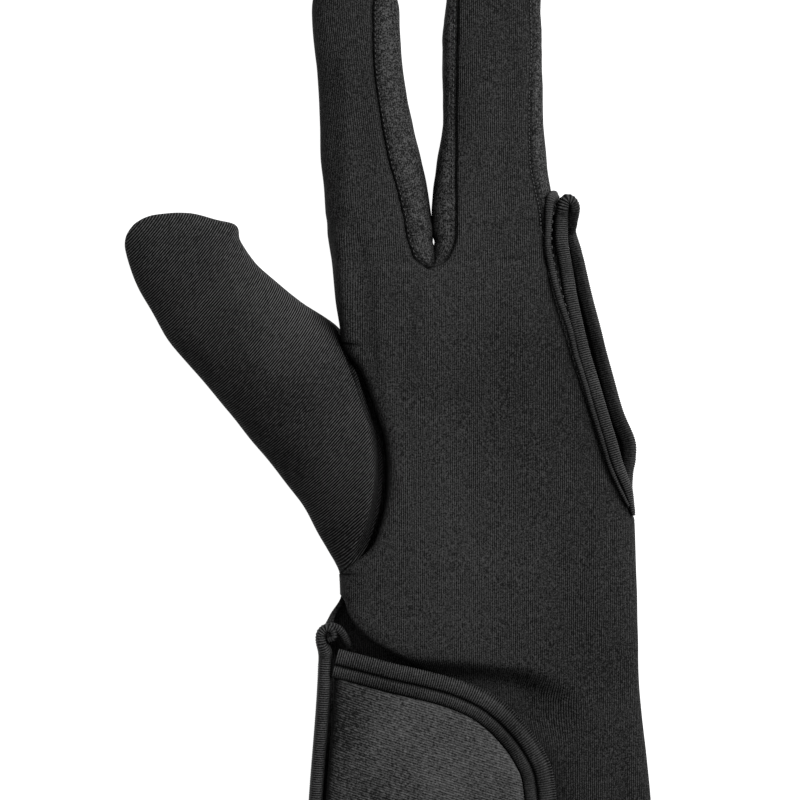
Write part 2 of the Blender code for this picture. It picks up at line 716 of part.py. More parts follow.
def hem_binding():
    up = HEM_TAPE_WIDTH / 2 / BODY_LENGTH
    shape = body_section(up)
    front_left, _ = front_span(up)
    back_left, _ = back_span(up)
    split = angle_at(shape, SPLIT * PALM_WIDTH)
    under_split = angle_at(shape, SPLIT * PALM_WIDTH, under=True) - 360
    angles = even(front_left, split, INDEX_COLUMNS) + even(split, 0, MIDDLE_COLUMNS)[1:]
    angles += even(0, under_split, MIDDLE_COLUMNS)[1:] + even(under_split, back_left - 360, INDEX_COLUMNS)[1:]
    path = [body_pair(up, angle) for angle in angles]
    return sweep("hem_binding", path, [HEM_TAPE_WIDTH] * len(path))


def strap_point(x, y, depth):
    shape = body_section(y / BODY_LENGTH, depth)
    return skin(shape, angle_at(shape, x))


def strap_pair(x, y):
    return strap_point(x, y, -STRAP_STAND - STRAP_WALL), strap_point(x, y, -STRAP_STAND)


def strap_rows():
    """(y, left x, right x) of the strap's cloth."""
    low, high = STRAP_LOW * BODY_LENGTH, STRAP_HIGH * BODY_LENGTH
    for share in STRAP_ROWS:
        y = low + (high - low) * share
        left = ridge_place(y / BODY_LENGTH).x + RIDGE_WIDTH / 2 + GAP
        right = STRAP_ANCHOR * PALM_WIDTH + smooth(STRAP, "reach", share) * STRAP_REACH
        yield y, left, max(right, left + STRAP_POINT)


def strap():
    rows = []
    for y, left, right in strap_rows():
        rows.append([strap_pair(x, y) for x in even(left, right, STRAP_COLUMNS)])
    return shell("strap", [rows], STRAP_CLOTH)


def strap_binding():
    """Along the strap's upper edge, round its far end and back along the lower edge."""
    border = [Vector((right, y, 0)) for y, _, right in strap_rows()][::-1]
    y, left, right = next(strap_rows())
    start = left + STRAP_TAPE_START
    border += [Vector((x, y, 0)) for x in even(right, start, 4)[1:]]
    path = []
    offset = GAP + STRAP_TAPE_WIDTH / 2
    for k, here in enumerate(border):
        ahead = border[min(k + 1, len(border) - 1)] - border[max(k - 1, 0)]
        out = Vector((-ahead.y, ahead.x, 0)).normalized()
        place = here + out * offset
        path.append(strap_pair(place.x, place.y))
    # The inner band lies a little higher than the outer one, with the groove just off the middle
    groove = 1 - STRAP_TAPE_GROOVE / (TAPE_THICKNESS / 2)
    profile = ROUNDED[:6] + ((0.12, 1), (0.02, groove), (-0.08, 0.92), (-0.86, 0.85)) + ROUNDED[7:]
    return sweep("strap_binding", path, [STRAP_TAPE_WIDTH] * len(path), profile)


def strap_joint_binding():
    ups = [up for up in body_stations() if up < RIDGE_TOP] + [RIDGE_TOP]
    path = []
    for up in ups:
        place = ridge_place(up)
        path.append((place, Vector((RIDGE_WIDTH / 2, 0, 0)), Vector((0, 0, RIDGE_HEIGHT / 2)), ROUNDED))
    return band("strap_joint_binding", path, TAPE)


def hook_patch():
    rows = []
    for up in even(HOOK_LOW, HOOK_HIGH, 3):
        pairs = []
        for x in even(HOOK_LEFT * PALM_WIDTH, HOOK_RIGHT * PALM_WIDTH, 4):
            y = up * BODY_LENGTH
            pairs.append((strap_point(x, y, GAP - STRAP_STAND), strap_point(x, y, -GAP)))
        rows.append(pairs)
    return shell("hook_patch", [rows], HOOK)


def main():
    made = [
        panel("front_panel", front_span, False),
        panel("back_panel", back_span, True),
        inner_fourchette(),
        outer_fourchette(),
        thumb(),
        opening_binding(),
        hem_binding(),
        strap(),
        strap_binding(),
        strap_joint_binding(),
        hook_patch(),
    ]
    corners = [vertex.co for item in made for vertex in item.data.vertices]
    lowest = [min(c[i] for c in corners) for i in range(3)]
    highest = [max(c[i] for c in corners) for i in range(3)]
    shift = Vector((-(lowest[0] + highest[0]) / 2, -(lowest[1] + highest[1]) / 2, -lowest[2]))
    for item in made:
        item.data.transform(Matrix.Translation(shift))


main()
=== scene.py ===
# Looks of a knitted three-finger heat glove that lies on its back panel.
# Lengths are millimetres in the glove's own frame: x from the palm's centre line, y up from the hem.
import math
from collections import namedtuple

import bpy
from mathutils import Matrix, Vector, noise


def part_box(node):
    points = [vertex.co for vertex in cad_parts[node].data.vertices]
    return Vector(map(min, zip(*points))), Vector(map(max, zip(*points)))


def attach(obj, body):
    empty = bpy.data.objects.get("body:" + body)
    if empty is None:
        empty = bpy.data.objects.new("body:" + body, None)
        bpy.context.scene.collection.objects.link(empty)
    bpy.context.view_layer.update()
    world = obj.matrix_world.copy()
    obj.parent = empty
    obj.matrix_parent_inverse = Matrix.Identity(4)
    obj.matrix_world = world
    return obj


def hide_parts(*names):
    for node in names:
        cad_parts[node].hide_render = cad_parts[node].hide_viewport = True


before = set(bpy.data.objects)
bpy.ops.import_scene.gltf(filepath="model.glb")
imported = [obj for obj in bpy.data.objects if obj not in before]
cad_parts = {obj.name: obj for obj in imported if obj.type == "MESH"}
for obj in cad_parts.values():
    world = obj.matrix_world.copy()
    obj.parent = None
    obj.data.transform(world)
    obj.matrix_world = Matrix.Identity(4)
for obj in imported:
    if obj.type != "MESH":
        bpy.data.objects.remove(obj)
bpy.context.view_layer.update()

mm = 0.001
print("frame loaded:", len(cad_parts), "nodes")

# Camera, floor and light

view = dict(
    pixelsPerMm=3.6,
    width=800,
    centre=(3.0, 3.1),  # point of the frame that the middle of the picture looks at
    middleHeight=10.0,
    lens=85.0,
    sensor=36.0,
)


def addCamera():
    data = bpy.data.cameras.new("photoCamera")
    data.lens = view["lens"]
    data.sensor_width = view["sensor"]
    across = view["width"] / view["pixelsPerMm"]
    away = across * view["lens"] / view["sensor"]
    camera = bpy.data.objects.new("photoCamera", data)
    camera.location = Vector((*view["centre"], view["middleHeight"] + away)) * mm
    bpy.context.scene.collection.objects.link(camera)
    bpy.context.scene.camera = camera


studio = dict(
    floorSize=3.0,
    floorShade=0.22,
    floorGlow=0.97,  # the photo's ground is lit from below, like a light table
    skyStrength=0.20,
    softboxes=(  # place and target in metres, size, watts
        dict(name="keyLight", place=(0.72, 0.62, 0.75), target=(0, 0, 0), size=0.6, power=25.0),
        dict(name="topLight", place=(0.05, 0.20, 1.3), target=(0, 0, 0), size=0.8, power=6.0),
    ),
)


def addStudio():
    world = bpy.data.worlds.new("paleRoom")
    world.use_nodes = True
    sky = world.node_tree.nodes["Background"]
    sky.inputs["Color"].default_value = (1, 1, 1, 1)
    sky.inputs["Strength"].default_value = studio["skyStrength"]
    bpy.context.scene.world = world
    bpy.context.scene.view_settings.view_transform = "Standard"
    half = studio["floorSize"] / 2
    mesh = bpy.data.meshes.new("floor")
    mesh.from_pydata([(-half, -half, 0), (half, -half, 0), (half, half, 0), (-half, half, 0)], [], [(0, 1, 2, 3)])
    paint = bpy.data.materials.new("palePaper")
    paint.use_nodes = True
    shader = paint.node_tree.nodes["Principled BSDF"]
    shader.inputs["Base Color"].default_value = (studio["floorShade"],) * 3 + (1,)
    shader.inputs["Roughness"].default_value = 0.9
    shader.inputs["Emission Color"].default_value = (1, 1, 1, 1)
    shader.inputs["Emission Strength"].default_value = studio["floorGlow"]
    mesh.materials.append(paint)
    floor = bpy.data.objects.new("floor", mesh)
    bpy.context.scene.collection.objects.link(floor)
    for box in studio["softboxes"]:
        data = bpy.data.lights.new(box["name"], "AREA")
        data.energy = box["power"]
        data.size = box["size"]
        light = bpy.data.objects.new(box["name"], data)
        light.location = box["place"]
        aim = Vector(box["target"]) - Vector(box["place"])
        light.rotation_euler = aim.to_track_quat("-Z", "Y").to_euler()
        bpy.context.scene.collection.objects.link(light)


addCamera()
addStudio()
print("camera and studio ready")

# Materials


class Wire:
    # a socket that takes part in sums
    def __init__(self, look, socket):
        self.look = look
        self.socket = socket

    def maths(self, operation, *values):
        return self.look.node("ShaderNodeMath", {"operation": operation}, *values)

    def __add__(self, other):
        return self.maths("ADD", self, other)

    def __sub__(self, other):
        return self.maths("SUBTRACT", self, other)

    def __rsub__(self, other):
        return self.maths("SUBTRACT", other, self)

    def __mul__(self, other):
        return self.maths("MULTIPLY", self, other)

    def __truediv__(self, other):
        return self.maths("DIVIDE", self, other)

    def __pow__(self, other):
        return self.maths("POWER", self, other)

    __radd__ = __add__
    __rmul__ = __mul__

    def sine(self):
        return self.maths("SINE", self)

    def size(self):
        return self.maths("ABSOLUTE", self)


class Look:
    # one cloth or thread material and its nodes
    def __init__(self, name, **constants):
        self.material = bpy.data.materials.new(name)
        self.material.use_nodes = True
        self.tree = self.material.node_tree
        self.shader = self.tree.nodes["Principled BSDF"]
        for socket, value in constants.items():
            self.shader.inputs[socket.replace("_", " ")].default_value = value

    def node(self, kind, settings, *values, out=0, **named):
        made = self.tree.nodes.new(kind)
        for key, value in settings.items():
            setattr(made, key, value)
        for key, value in [*enumerate(values), *named.items()]:
            socket = made.inputs[key]
            if isinstance(value, Wire):
                self.tree.links.new(value.socket, socket)
            else:
                socket.default_value = value
        return Wire(self, made.outputs[out])

    def cloth(self):
        # across and along the cloth, in millimetres
        place = self.node("ShaderNodeAttribute", {"attribute_name": "cloth"}, out="Vector")
        split = self.node("ShaderNodeSeparateXYZ", {}, place)
        return split, Wire(self, split.socket.node.outputs[1])

    def place(self):
        return self.node("ShaderNodeTexCoord", {}, out="Object")

    def speckle(self, scale, detail=2.0, where=None):
        where = where or self.place()
        return self.node("ShaderNodeTexNoise", {}, Vector=where, Scale=scale, Detail=detail)

    def dashes(self, across, along, detail=2.0):
        # speckle drawn out along the thread
        where = self.node("ShaderNodeCombineXYZ", {}, across, along, 0.0)
        return self.speckle(1.0, detail, where) - 0.5

    def open(self, reach=8.0):
        # painted shade: 1 in the open, falling toward 0 in folds, seams and hollows that light hardly gets into; the
        # colour is multiplied by it
        shade = self.node("ShaderNodeAmbientOcclusion", {"samples": 6}, Distance=reach * mm, out="AO")
        return shade * shade

    def tint(self, share, dark, light):
        colours = [(*shade, 1) if isinstance(shade, tuple) else (shade,) * 3 + (1,) for shade in (dark, light)]
        mixed = self.node("ShaderNodeMix", {"data_type": "RGBA"}, share, out=2)
        mixed.socket.node.inputs[6].default_value = colours[0]
        mixed.socket.node.inputs[7].default_value = colours[1]
        return mixed

    def finish(self, colour, height, depth, roughness):
        bump = self.node("ShaderNodeBump", {}, Strength=1.0, Distance=depth * mm, Height=height)
        self.tree.links.new(colour.socket, self.shader.inputs["Base Color"])
        self.tree.links.new(roughness.socket, self.shader.inputs["Roughness"])
        self.tree.links.new(bump.socket, self.shader.inputs["Normal"])
        return self.material


wave = 2 * math.pi
knit = dict(wale=0.58, dashWidth=0.50, dashLength=1.7, dark=0.0024, light=0.042, depth=0.12)


def knitLook(name, values):
    # fine wales along the cloth, broken into short dashes, strong in some patches and faint in others
    look = Look(name, Specular_IOR_Level=0.05)
    across, along = look.cloth()
    wobble = look.speckle(120.0, 2.0) - 0.5
    wale = (across * (wave / values["wale"]) + wobble * 2.4).sine()
    dashes = look.dashes(across / values["dashWidth"], along / values["dashLength"], 3.0)
    grain = look.speckle(2300.0, 2.0) - 0.5
    foldShade = look.speckle(13.0, 1.0) - 0.5  # painted shade: broad lighter and darker areas, soft like the shading of folds
    clear = look.speckle(80.0, 1.0) * 2.0 - 0.55
    # painted shade: darker towards the palm's right side
    right = look.node("ShaderNodeMapRange", {"clamp": True}, across, 14.0, 44.0, 0.0, 0.15)
    weave = wale * (clear + 0.35) * 0.36
    high = look.node("ShaderNodeMapRange", {"clamp": True}, along, 160.0, 220.0, 0.0, 0.09)
    share = 0.33 + weave + dashes * 1.0 + grain * 2.2 + foldShade * 0.45 - right - high
    # the colour takes painted shade in folds, seams and hollows
    colour = look.tint(share * look.open(), values["dark"], values["light"])
    return look.finish(colour, weave + dashes * 0.6 + grain * 0.5, values["depth"], 0.72 + grain * 0.3)


rib = dict(pitch=0.61, angle=50.0, dark=0.0006, light=0.060, depth=0.18)


def ribLook(name, values):
    # clear diagonal ribs, the thumb's own cloth
    look = Look(name, Specular_IOR_Level=0.05)
    turn = math.radians(values["angle"])
    toward = (-math.sin(turn) * 1000, math.cos(turn) * 1000, 350.0)
    ahead = (math.cos(turn) * 1000, math.sin(turn) * 1000, 0.0)
    flankWay = (799.0, 602.0, 0.0)  # square to the thumb, pointing away from its lower flank, which takes painted shade
    run = look.node("ShaderNodeVectorMath", {"operation": "DOT_PRODUCT"}, look.place(), toward, out="Value")
    way = look.node("ShaderNodeVectorMath", {"operation": "DOT_PRODUCT"}, look.place(), ahead, out="Value")
    wobble = look.speckle(90.0, 2.0) - 0.5
    ridge = (run * (wave / values["pitch"]) + wobble * 1.6).sine()
    dashes = look.dashes(run * 1.5, way * 0.7)
    grain = look.speckle(1500.0, 2.0) - 0.5
    patches = look.speckle(26.0, 3.0) - 0.5
    # painted shade: darker towards the thumb's tip
    tip = look.node("ShaderNodeMapRange", {"clamp": True}, look.cloth()[1], 40.0, 78.0, 0.0, 0.16)
    # painted shade on the thumb's lower flank
    rightward = look.node("ShaderNodeVectorMath", {"operation": "DOT_PRODUCT"}, look.place(), flankWay, out="Value")
    flankShade = look.node("ShaderNodeMapRange", {"clamp": True}, rightward, -36.0, -12.0, 0.26, 0.0)
    share = 0.285 - tip - flankShade + ridge * (0.80 + patches * 1.5) + dashes * 1.2 + grain * 1.1 + patches * 0.6
    # the colour takes painted shade in folds, seams and hollows
    colour = look.tint(share * look.open(), values["dark"], values["light"])
    return look.finish(colour, ridge * 0.5 + dashes * 0.5, values["depth"], 0.7 + grain * 0.3)


mottle = dict(dark=0.003, light=0.062, depth=0.08)


def mottledLook(name, values):
    # the fourchettes: the knit's grainy wrong side, a little lighter
    look = Look(name, Specular_IOR_Level=0.05)
    across, along = look.cloth()
    wale = (across * (wave / 0.62) + look.speckle(200.0) * 3.0).sine()
    coarse = look.speckle(700.0, 2.0) - 0.5
    fine = look.speckle(2300.0, 1.0) - 0.5
    share = 0.27 + coarse * 0.8 + fine * 2.6 + wale * 0.10
    # the colour takes painted shade in folds, seams and hollows
    colour = look.tint(share * look.open(), values["dark"], values["light"])
    return look.finish(colour, coarse + wale * 0.2, values["depth"], 0.7 + fine * 0.3)


tape = dict(dark=0.0012, light=0.046, depth=0.06, pitch=0.62)


def tapeLook(name, values):
    # ribs come from the mesh; the colour runs in bands of the same pitch, with painted shade between them
    look = Look(name, Specular_IOR_Level=0.08)
    across, along = look.cloth()
    ridge = (along * (wave / values["pitch"])).sine()
    grain = look.speckle(2000.0, 2.0) - 0.5
    worn = look.speckle(70.0, 3.0) - 0.5
    share = 0.29 + ridge * 0.46 + grain * 1.6 + worn * 0.9
    # the colour takes painted shade in the grooves and beside the cloth
    colour = look.tint(share * look.open(2.5), values["dark"], values["light"])
    return look.finish(colour, grain + ridge * 0.3, values["depth"], 0.6 + grain * 0.25)


brushed = dict(pitch=0.66, lean=0.32, dark=0.004, light=0.088, depth=0.10)


def brushedLook(name, values):
    # the strap's napped cloth: faint slanting ribs across it, and painted light that makes it lighter towards the
    # right
    look = Look(name, Specular_IOR_Level=0.08, Sheen_Weight=0.04, Sheen_Roughness=0.45)
    across, along = look.cloth()
    wobble = look.speckle(70.0, 2.0) - 0.5
    run = along + across * values["lean"]
    ridge = (run * (wave / values["pitch"]) + wobble * 2.0).sine()
    dashes = look.dashes(across * 0.55, run * 1.6)
    hairs = look.speckle(1700.0, 2.0) - 0.5
    bloom = look.speckle(38.0, 3.0) - 0.5
    # painted light: lighter towards the strap's right
    rise = look.node("ShaderNodeMapRange", {"clamp": True}, across, 4.0, 44.0, 0.0, 1.0)
    share = 0.18 + ridge * 0.15 + dashes * 1.0 + hairs * 1.5 + bloom * 0.9 + rise * 0.16
    # the colour takes painted shade in folds and beside the ridge
    colour = look.tint(share * look.open(4.0), values["dark"], values["light"])
    return look.finish(colour, ridge * 0.4 + hairs, values["depth"], 0.75 + hairs * 0.2)


hooks = dict(dark=0.006, light=0.020, depth=0.2)


def hookLook(name, values):
    look = Look(name, Specular_IOR_Level=0.4)
    dots = look.node("ShaderNodeTexVoronoi", {}, Vector=look.place(), Scale=900.0, out="Distance")
    colour = look.tint(dots, values["dark"], values["light"])
    return look.finish(colour, 1.0 - dots, values["depth"], 0.45 + dots * 0.2)


def threadLook(name):
    look = Look(name, Specular_IOR_Level=0.35)
    grain = look.speckle(3000.0, 1.0)
    return look.finish(look.tint(grain, 0.010, 0.034), grain, 0.03, 0.5 + grain * 0.2)


looks = dict(
    knit=knitLook("blackKnit", knit),
    rib=ribLook("ribbedKnit", rib),
    mottled=mottledLook("fourchetteKnit", mottle),
    tape=tapeLook("ribbedTape", tape),
    brushed=brushedLook("brushedStrap", brushed),
    hook=hookLook("hookFace", hooks),
    thread=threadLook("seamThread"),
)
print("materials ready:", len(looks))

# The glove's own sizes, in millimetres

hand = dict(
    bodyLength=169.0,
    palmWidth=80.0,
    palmThickness=17.0,
    foldHeight=0.34,  # side fold, as a share of the thickness
    wall=1.3,
    bodyPower=4.5,  # squareness of the top
    underPower=6.0,
    underFlat=1.03,
    split=-0.184,  # the crotch, as a share of the palm's width
    hemLift=0.75,
    hemLiftEnd=0.10,
    slitTop=0.464,
    thumbLow=0.502,
    thumbHigh=0.878,
    merge=0.590,
    seamGap=0.19,
)
finger = dict(
    indexLength=84.0,
    middleLength=91.0,
    indexWidth=24.5,
    middleWidth=27.0,
    thickness=12.5,
    tip=11.0,
    tipNarrow=0.45,
    seamEnd=75.0,  # degrees of the tip's turn where the two panels meet
    tailLow=0.120,
    openingTop=0.225,
)

BodyRow = namedtuple("BodyRow", "up left right thick")
bodyRows = (
    BodyRow(0.000, -0.611, 0.608, 0.88),
    BodyRow(0.130, -0.597, 0.597, 0.90),
    BodyRow(0.330, -0.566, 0.556, 0.93),
    BodyRow(0.390, -0.561, 0.552, 0.95),
    BodyRow(0.430, -0.526, 0.549, 0.96),
    BodyRow(0.464, -0.486, 0.548, 0.97),
    BodyRow(0.502, -0.489, 0.545, 0.98),
    BodyRow(0.600, -0.540, 0.540, 1.00),
    BodyRow(0.690, -0.560, 0.531, 1.00),
    BodyRow(0.724, -0.550, 0.526, 1.00),
    BodyRow(0.766, -0.530, 0.497, 0.99),
    BodyRow(0.811, -0.505, 0.465, 0.98),
    BodyRow(0.878, -0.479, 0.421, 0.96),
    BodyRow(0.952, -0.503, 0.382, 0.92),
    BodyRow(1.000, -0.512, 0.351, 0.89),
)
SeamRow = namedtuple("SeamRow", "along x")
thumbSeamRows = (
    SeamRow(0.00, -0.487),
    SeamRow(0.07, -0.434),
    SeamRow(0.15, -0.396),
    SeamRow(0.36, -0.354),
    SeamRow(0.47, -0.351),
    SeamRow(0.59, -0.361),
    SeamRow(0.67, -0.382),
    SeamRow(0.82, -0.427),
    SeamRow(0.95, -0.469),
    SeamRow(1.00, -0.479),
)
OpeningRow = namedtuple("OpeningRow", "up front")
openingRows = (
    OpeningRow(0.590, 0.5404),
    OpeningRow(0.603, 0.5300),
    OpeningRow(0.640, 0.4960),
    OpeningRow(0.690, 0.443),
    OpeningRow(0.766, 0.392),
    OpeningRow(0.878, 0.312),
    OpeningRow(0.970, 0.257),
    OpeningRow(1.045, 0.230),
    OpeningRow(1.110, 0.238),
    OpeningRow(1.135, 0.252),
)
FingerRow = namedtuple("FingerRow", "up axis left right leftSeam rightSeam leftPower rightPower thick")
indexRows = (
    FingerRow(0.00, -0.350, -0.53, 0.640, -0.53, 0.60, 2.6, 6.0, 1.12),
    FingerRow(0.04, -0.352, -0.54, 0.655, -0.54, 0.42, 2.6, 6.0, 1.12),
    FingerRow(0.07, -0.354, -0.55, 0.650, -0.55, 0.39, 2.6, 6.0, 1.11),
    FingerRow(0.10, -0.356, -0.56, 0.626, -0.56, 0.36, 2.6, 6.0, 1.10),
    FingerRow(0.13, -0.357, -0.57, 0.650, -0.57, 0.34, 2.6, 5.5, 1.09),
    FingerRow(0.16, -0.358, -0.57, 0.636, -0.57, 0.33, 2.6, 5.2, 1.09),
    FingerRow(0.20, -0.361, -0.58, 0.622, -0.58, 0.31, 2.6, 4.5, 1.07),
    FingerRow(0.28, -0.366, -0.58, 0.602, -0.58, 0.26, 2.6, 3.8, 1.04),
    FingerRow(0.36, -0.372, -0.59, 0.560, -0.59, 0.20, 2.6, 3.2, 1.02),
    FingerRow(0.50, -0.388, -0.55, 0.500, -0.55, 0.16, 2.6, 2.8, 1.00),
    FingerRow(0.64, -0.406, -0.52, 0.470, -0.52, 0.15, 2.6, 2.6, 0.98),
    FingerRow(0.88, -0.434, -0.50, 0.500, -0.50, 0.22, 2.6, 2.6, 0.94),
    FingerRow(1.00, -0.436, -0.48, 0.480, -0.48, 0.22, 2.6, 2.6, 0.92),
)
middleRows = (
    FingerRow(0.00, 0.070, -0.705, 0.83, -0.70, 0.65, 6.0, 2.6, 1.14),
    FingerRow(0.04, 0.069, -0.700, 0.79, -0.56, 0.61, 6.0, 2.6, 1.13),
    FingerRow(0.065, 0.0685, -0.690, 0.765, -0.52, 0.54, 6.0, 2.6, 1.12),
    FingerRow(0.092, 0.068, -0.664, 0.735, -0.485, 0.47, 6.0, 2.6, 1.11),
    FingerRow(0.12, 0.0675, -0.695, 0.72, -0.477, 0.455, 5.9, 2.6, 1.10),
    FingerRow(0.15, 0.067, -0.692, 0.70, -0.475, 0.45, 5.8, 2.7, 1.10),
    FingerRow(0.18, 0.066, -0.692, 0.68, -0.47, 0.445, 5.5, 2.8, 1.08),
    FingerRow(0.25, 0.064, -0.665, 0.55, -0.47, 0.40, 4.5, 2.8, 1.05),
    FingerRow(0.34, 0.061, -0.618, 0.52, -0.46, 0.36, 3.6, 2.8, 1.02),
    FingerRow(0.46, 0.058, -0.550, 0.49, -0.45, 0.36, 2.8, 2.8, 1.00),
    FingerRow(0.70, 0.053, -0.540, 0.49, -0.42, 0.40, 2.6, 2.6, 0.97),
    FingerRow(0.88, 0.050, -0.480, 0.49, -0.40, 0.40, 2.6, 2.6, 0.94),
    FingerRow(1.00, 0.050, -0.480, 0.48, -0.40, 0.40, 2.6, 2.6, 0.92),
)


def curveThrough(xs, ys):
    # a cubic through the points that doesn't overshoot them
    rises = [(ys[i + 1] - ys[i]) / (xs[i + 1] - xs[i]) for i in range(len(xs) - 1)]
    slopes = []
    for i in range(len(xs)):
        before, after = rises[max(i - 1, 0)], rises[min(i, len(rises) - 1)]
        slopes.append(0.0 if before * after <= 0 else 2 * before * after / (before + after))

    def at(x):
        x = min(max(x, xs[0]), xs[-1])
        k = 0
        while k < len(xs) - 2 and xs[k + 1] <= x:
            k += 1
        width = xs[k + 1] - xs[k]
        t = (x - xs[k]) / width
        return (
            (2 * t**3 - 3 * t**2 + 1) * ys[k]
            + (t**3 - 2 * t**2 + t) * width * slopes[k]
            + (3 * t**2 - 2 * t**3) * ys[k + 1]
            + (t**3 - t**2) * width * slopes[k + 1]
        )

    return at


def curvesOf(rows, along=None):
    # one curve for each column of a table
    fields = rows[0]._fields
    xs = along or [row[0] for row in rows]
    columns = fields if along else fields[1:]
    return {name: curveThrough(xs, [getattr(row, name) for row in rows]) for name in columns}


body = curvesOf(bodyRows)
thumbSeam = curvesOf(thumbSeamRows)
opening = curvesOf(openingRows)
index = dict(curvesOf(indexRows), length=finger["indexLength"], width=finger["indexWidth"], name="index")
middle = dict(curvesOf(middleRows), length=finger["middleLength"], width=finger["middleWidth"], name="middle")

Section = namedtuple("Section", "y left right mid rise drop leftPower rightPower")


def bodySection(up, depth=0.0):
    lift = hand["hemLift"] * max(0.0, 1 - up / hand["hemLiftEnd"])
    thick = hand["palmThickness"] * body["thick"](up)
    mid = hand["foldHeight"] * hand["palmThickness"]
    left = body["left"](up) * hand["palmWidth"] + depth
    right = body["right"](up) * hand["palmWidth"] - depth
    power = hand["bodyPower"]
    return Section(up * hand["bodyLength"], left, right, mid, thick - mid - depth, mid - lift - depth, power, power)


def fingerSection(one, up, depth=0.0):
    mid = hand["foldHeight"] * hand["palmThickness"]
    start = one["length"] - finger["tip"]
    y = up * one["length"]
    close = 1.0
    if y > start:
        turn = (y - start) / finger["tip"] * math.pi / 2
        y = start + (finger["tip"] - depth) * math.sin(turn)
        close = math.cos(turn)
    axis = one["axis"](up) * hand["palmWidth"]
    thick = finger["thickness"] * one["thick"](up)
    narrow = finger["tipNarrow"] + (1 - finger["tipNarrow"]) * close
    return Section(
        hand["bodyLength"] + y,
        axis + one["left"](up) * one["width"] * narrow + depth,
        axis + one["right"](up) * one["width"] * narrow - depth,
        mid,
        (thick - mid - depth) * close,
        (mid - depth) * close,
        one["leftPower"](up),
        one["rightPower"](up),
    )


def skin(section, degrees):
    # 0 is the right fold, 90 the top, 180 the left fold, 270 the under side
    c = math.cos(math.radians(degrees))
    s = math.sin(math.radians(degrees))
    power = section.rightPower if c >= 0 else section.leftPower
    if s < 0:
        power = hand["underPower"]
    reach = (abs(c) ** power + abs(s) ** power) ** (-1 / power)
    x = (section.right + section.left) / 2 + (section.right - section.left) / 2 * c * reach
    if s < 0:
        return Vector((x, section.y, section.mid - section.drop * min(1.0, hand["underFlat"] * -s * reach)))
    return Vector((x, section.y, section.mid + section.rise * s * reach))


def angleAt(section, x, under=False):
    share = (x - (section.right + section.left) / 2) / ((section.right - section.left) / 2)
    share = min(max(share, -1.0), 1.0)
    power = hand["underPower"] if under else (section.rightPower if share >= 0 else section.leftPower)
    height = (1 - abs(share) ** power) ** (1 / power)
    degrees = math.degrees(math.atan2(height, share))
    return 360 - degrees if under else degrees


def heightAngle(share, power):
    return math.degrees(math.atan2(share, (1 - share**power) ** (1 / power)))


def slide(section, degrees, distance):
    pace = (skin(section, degrees + 0.5) - skin(section, degrees - 0.5)).length
    return degrees + distance / max(pace, 0.01)


def climb(section, degrees, distance):
    steps = max(1, math.ceil(abs(distance) / 0.5))
    for _ in range(steps):
        degrees = slide(section, degrees, distance / steps)
    return degrees


def even(first, last, count):
    return [first + (last - first) * k / count for k in range(count + 1)]


def ease(x):
    # 0 to 1 and level at both ends
    x = min(max(x, 0.0), 1.0)
    return x * x * (3 - 2 * x)


def hill(x, middle, width):
    return math.exp(-(((x - middle) / width) ** 2))


def grain(x, y, seed):
    return noise.noise(Vector((x, y, seed)))


# Meshes: cloth with two faces and a hem round its edge

glove = dict(x=0.0, y=0.0, pieces=0, triangles=0)


def volume(points, faces):
    total = 0.0
    for face in faces:
        for b, c in zip(face[1:], face[2:]):
            total += points[face[0]].dot(points[b].cross(points[c])) / 6
    return total


def meshPiece(name, points, faces, cloth, look, node=None, sharp=50.0):
    if volume(points, faces) < 0:
        faces = [face[::-1] for face in faces]
    mesh = bpy.data.meshes.new(name)
    shift = Vector((glove["x"], glove["y"], 0))
    mesh.from_pydata([(point + shift) * mm for point in points], [], faces)
    mesh.materials.append(looks[look])
    if cloth:
        layer = mesh.attributes.new("cloth", "FLOAT_VECTOR", "POINT")
        layer.data.foreach_set("vector", [value for place in cloth for value in (place[0], place[1], 0.0)])
    mesh.shade_smooth()
    mesh.set_sharp_from_angle(angle=math.radians(sharp))
    piece = bpy.data.objects.new(name, mesh)
    bpy.context.scene.collection.objects.link(piece)
    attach(piece, "root")
    if node:
        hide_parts(node)
    glove["pieces"] += 1
    glove["triangles"] += sum(len(face) - 2 for face in faces)
    return piece


def clothPiece(name, grids, look, node):
    # grids of (outer, inner, across, along); cloth shares its corners where grids meet
    points, index, faces, sides, cloth = [], {}, [], {}, []

    def corner(pair):
        key = (round(pair[0].x, 3), round(pair[0].y, 3), round(pair[0].z, 3), round(pair[1].z, 3))
        if key not in index:
            index[key] = len(points)
            points.extend(pair[:2])
            cloth.extend([pair[2:], pair[2:]])
        return index[key]

    for grid in grids:
        marks = [[corner(pair) for pair in row] for row in grid]
        for lower, upper in zip(marks, marks[1:]):
            for k in range(len(lower) - 1):
                ring = [lower[k], lower[k + 1], upper[k + 1], upper[k]]
                ring = [r for n, r in enumerate(ring) if r != ring[n - 1]]
                if len(ring) < 3:
                    continue
                faces.append(ring)
                faces.append([r + 1 for r in reversed(ring)])
                for a, b in zip(ring, ring[1:] + ring[:1]):
                    sides[(a, b)] = True
    for a, b in list(sides):
        if (b, a) not in sides:
            faces.append([b, a, a + 1, b + 1])
    return meshPiece(name, points, faces, cloth, look, node)


# The frame says where the hand's own lengths start
hemUp = 5.3 / hand["bodyLength"]
glove["x"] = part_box("front_panel")[1].x / mm - body["right"](hemUp) * hand["palmWidth"] + 0.15
glove["y"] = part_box("hem_binding")[0].y / mm
print("hand placed at", round(glove["x"], 2), round(glove["y"], 2))

# Where the two panels end

ridge = dict(width=3.6, shift=0.8, height=6.2, proud=0.8, top=0.412, strapStand=2.0, strapWall=2.0, strapHigh=0.336)
rolled = dict(width=2.8)


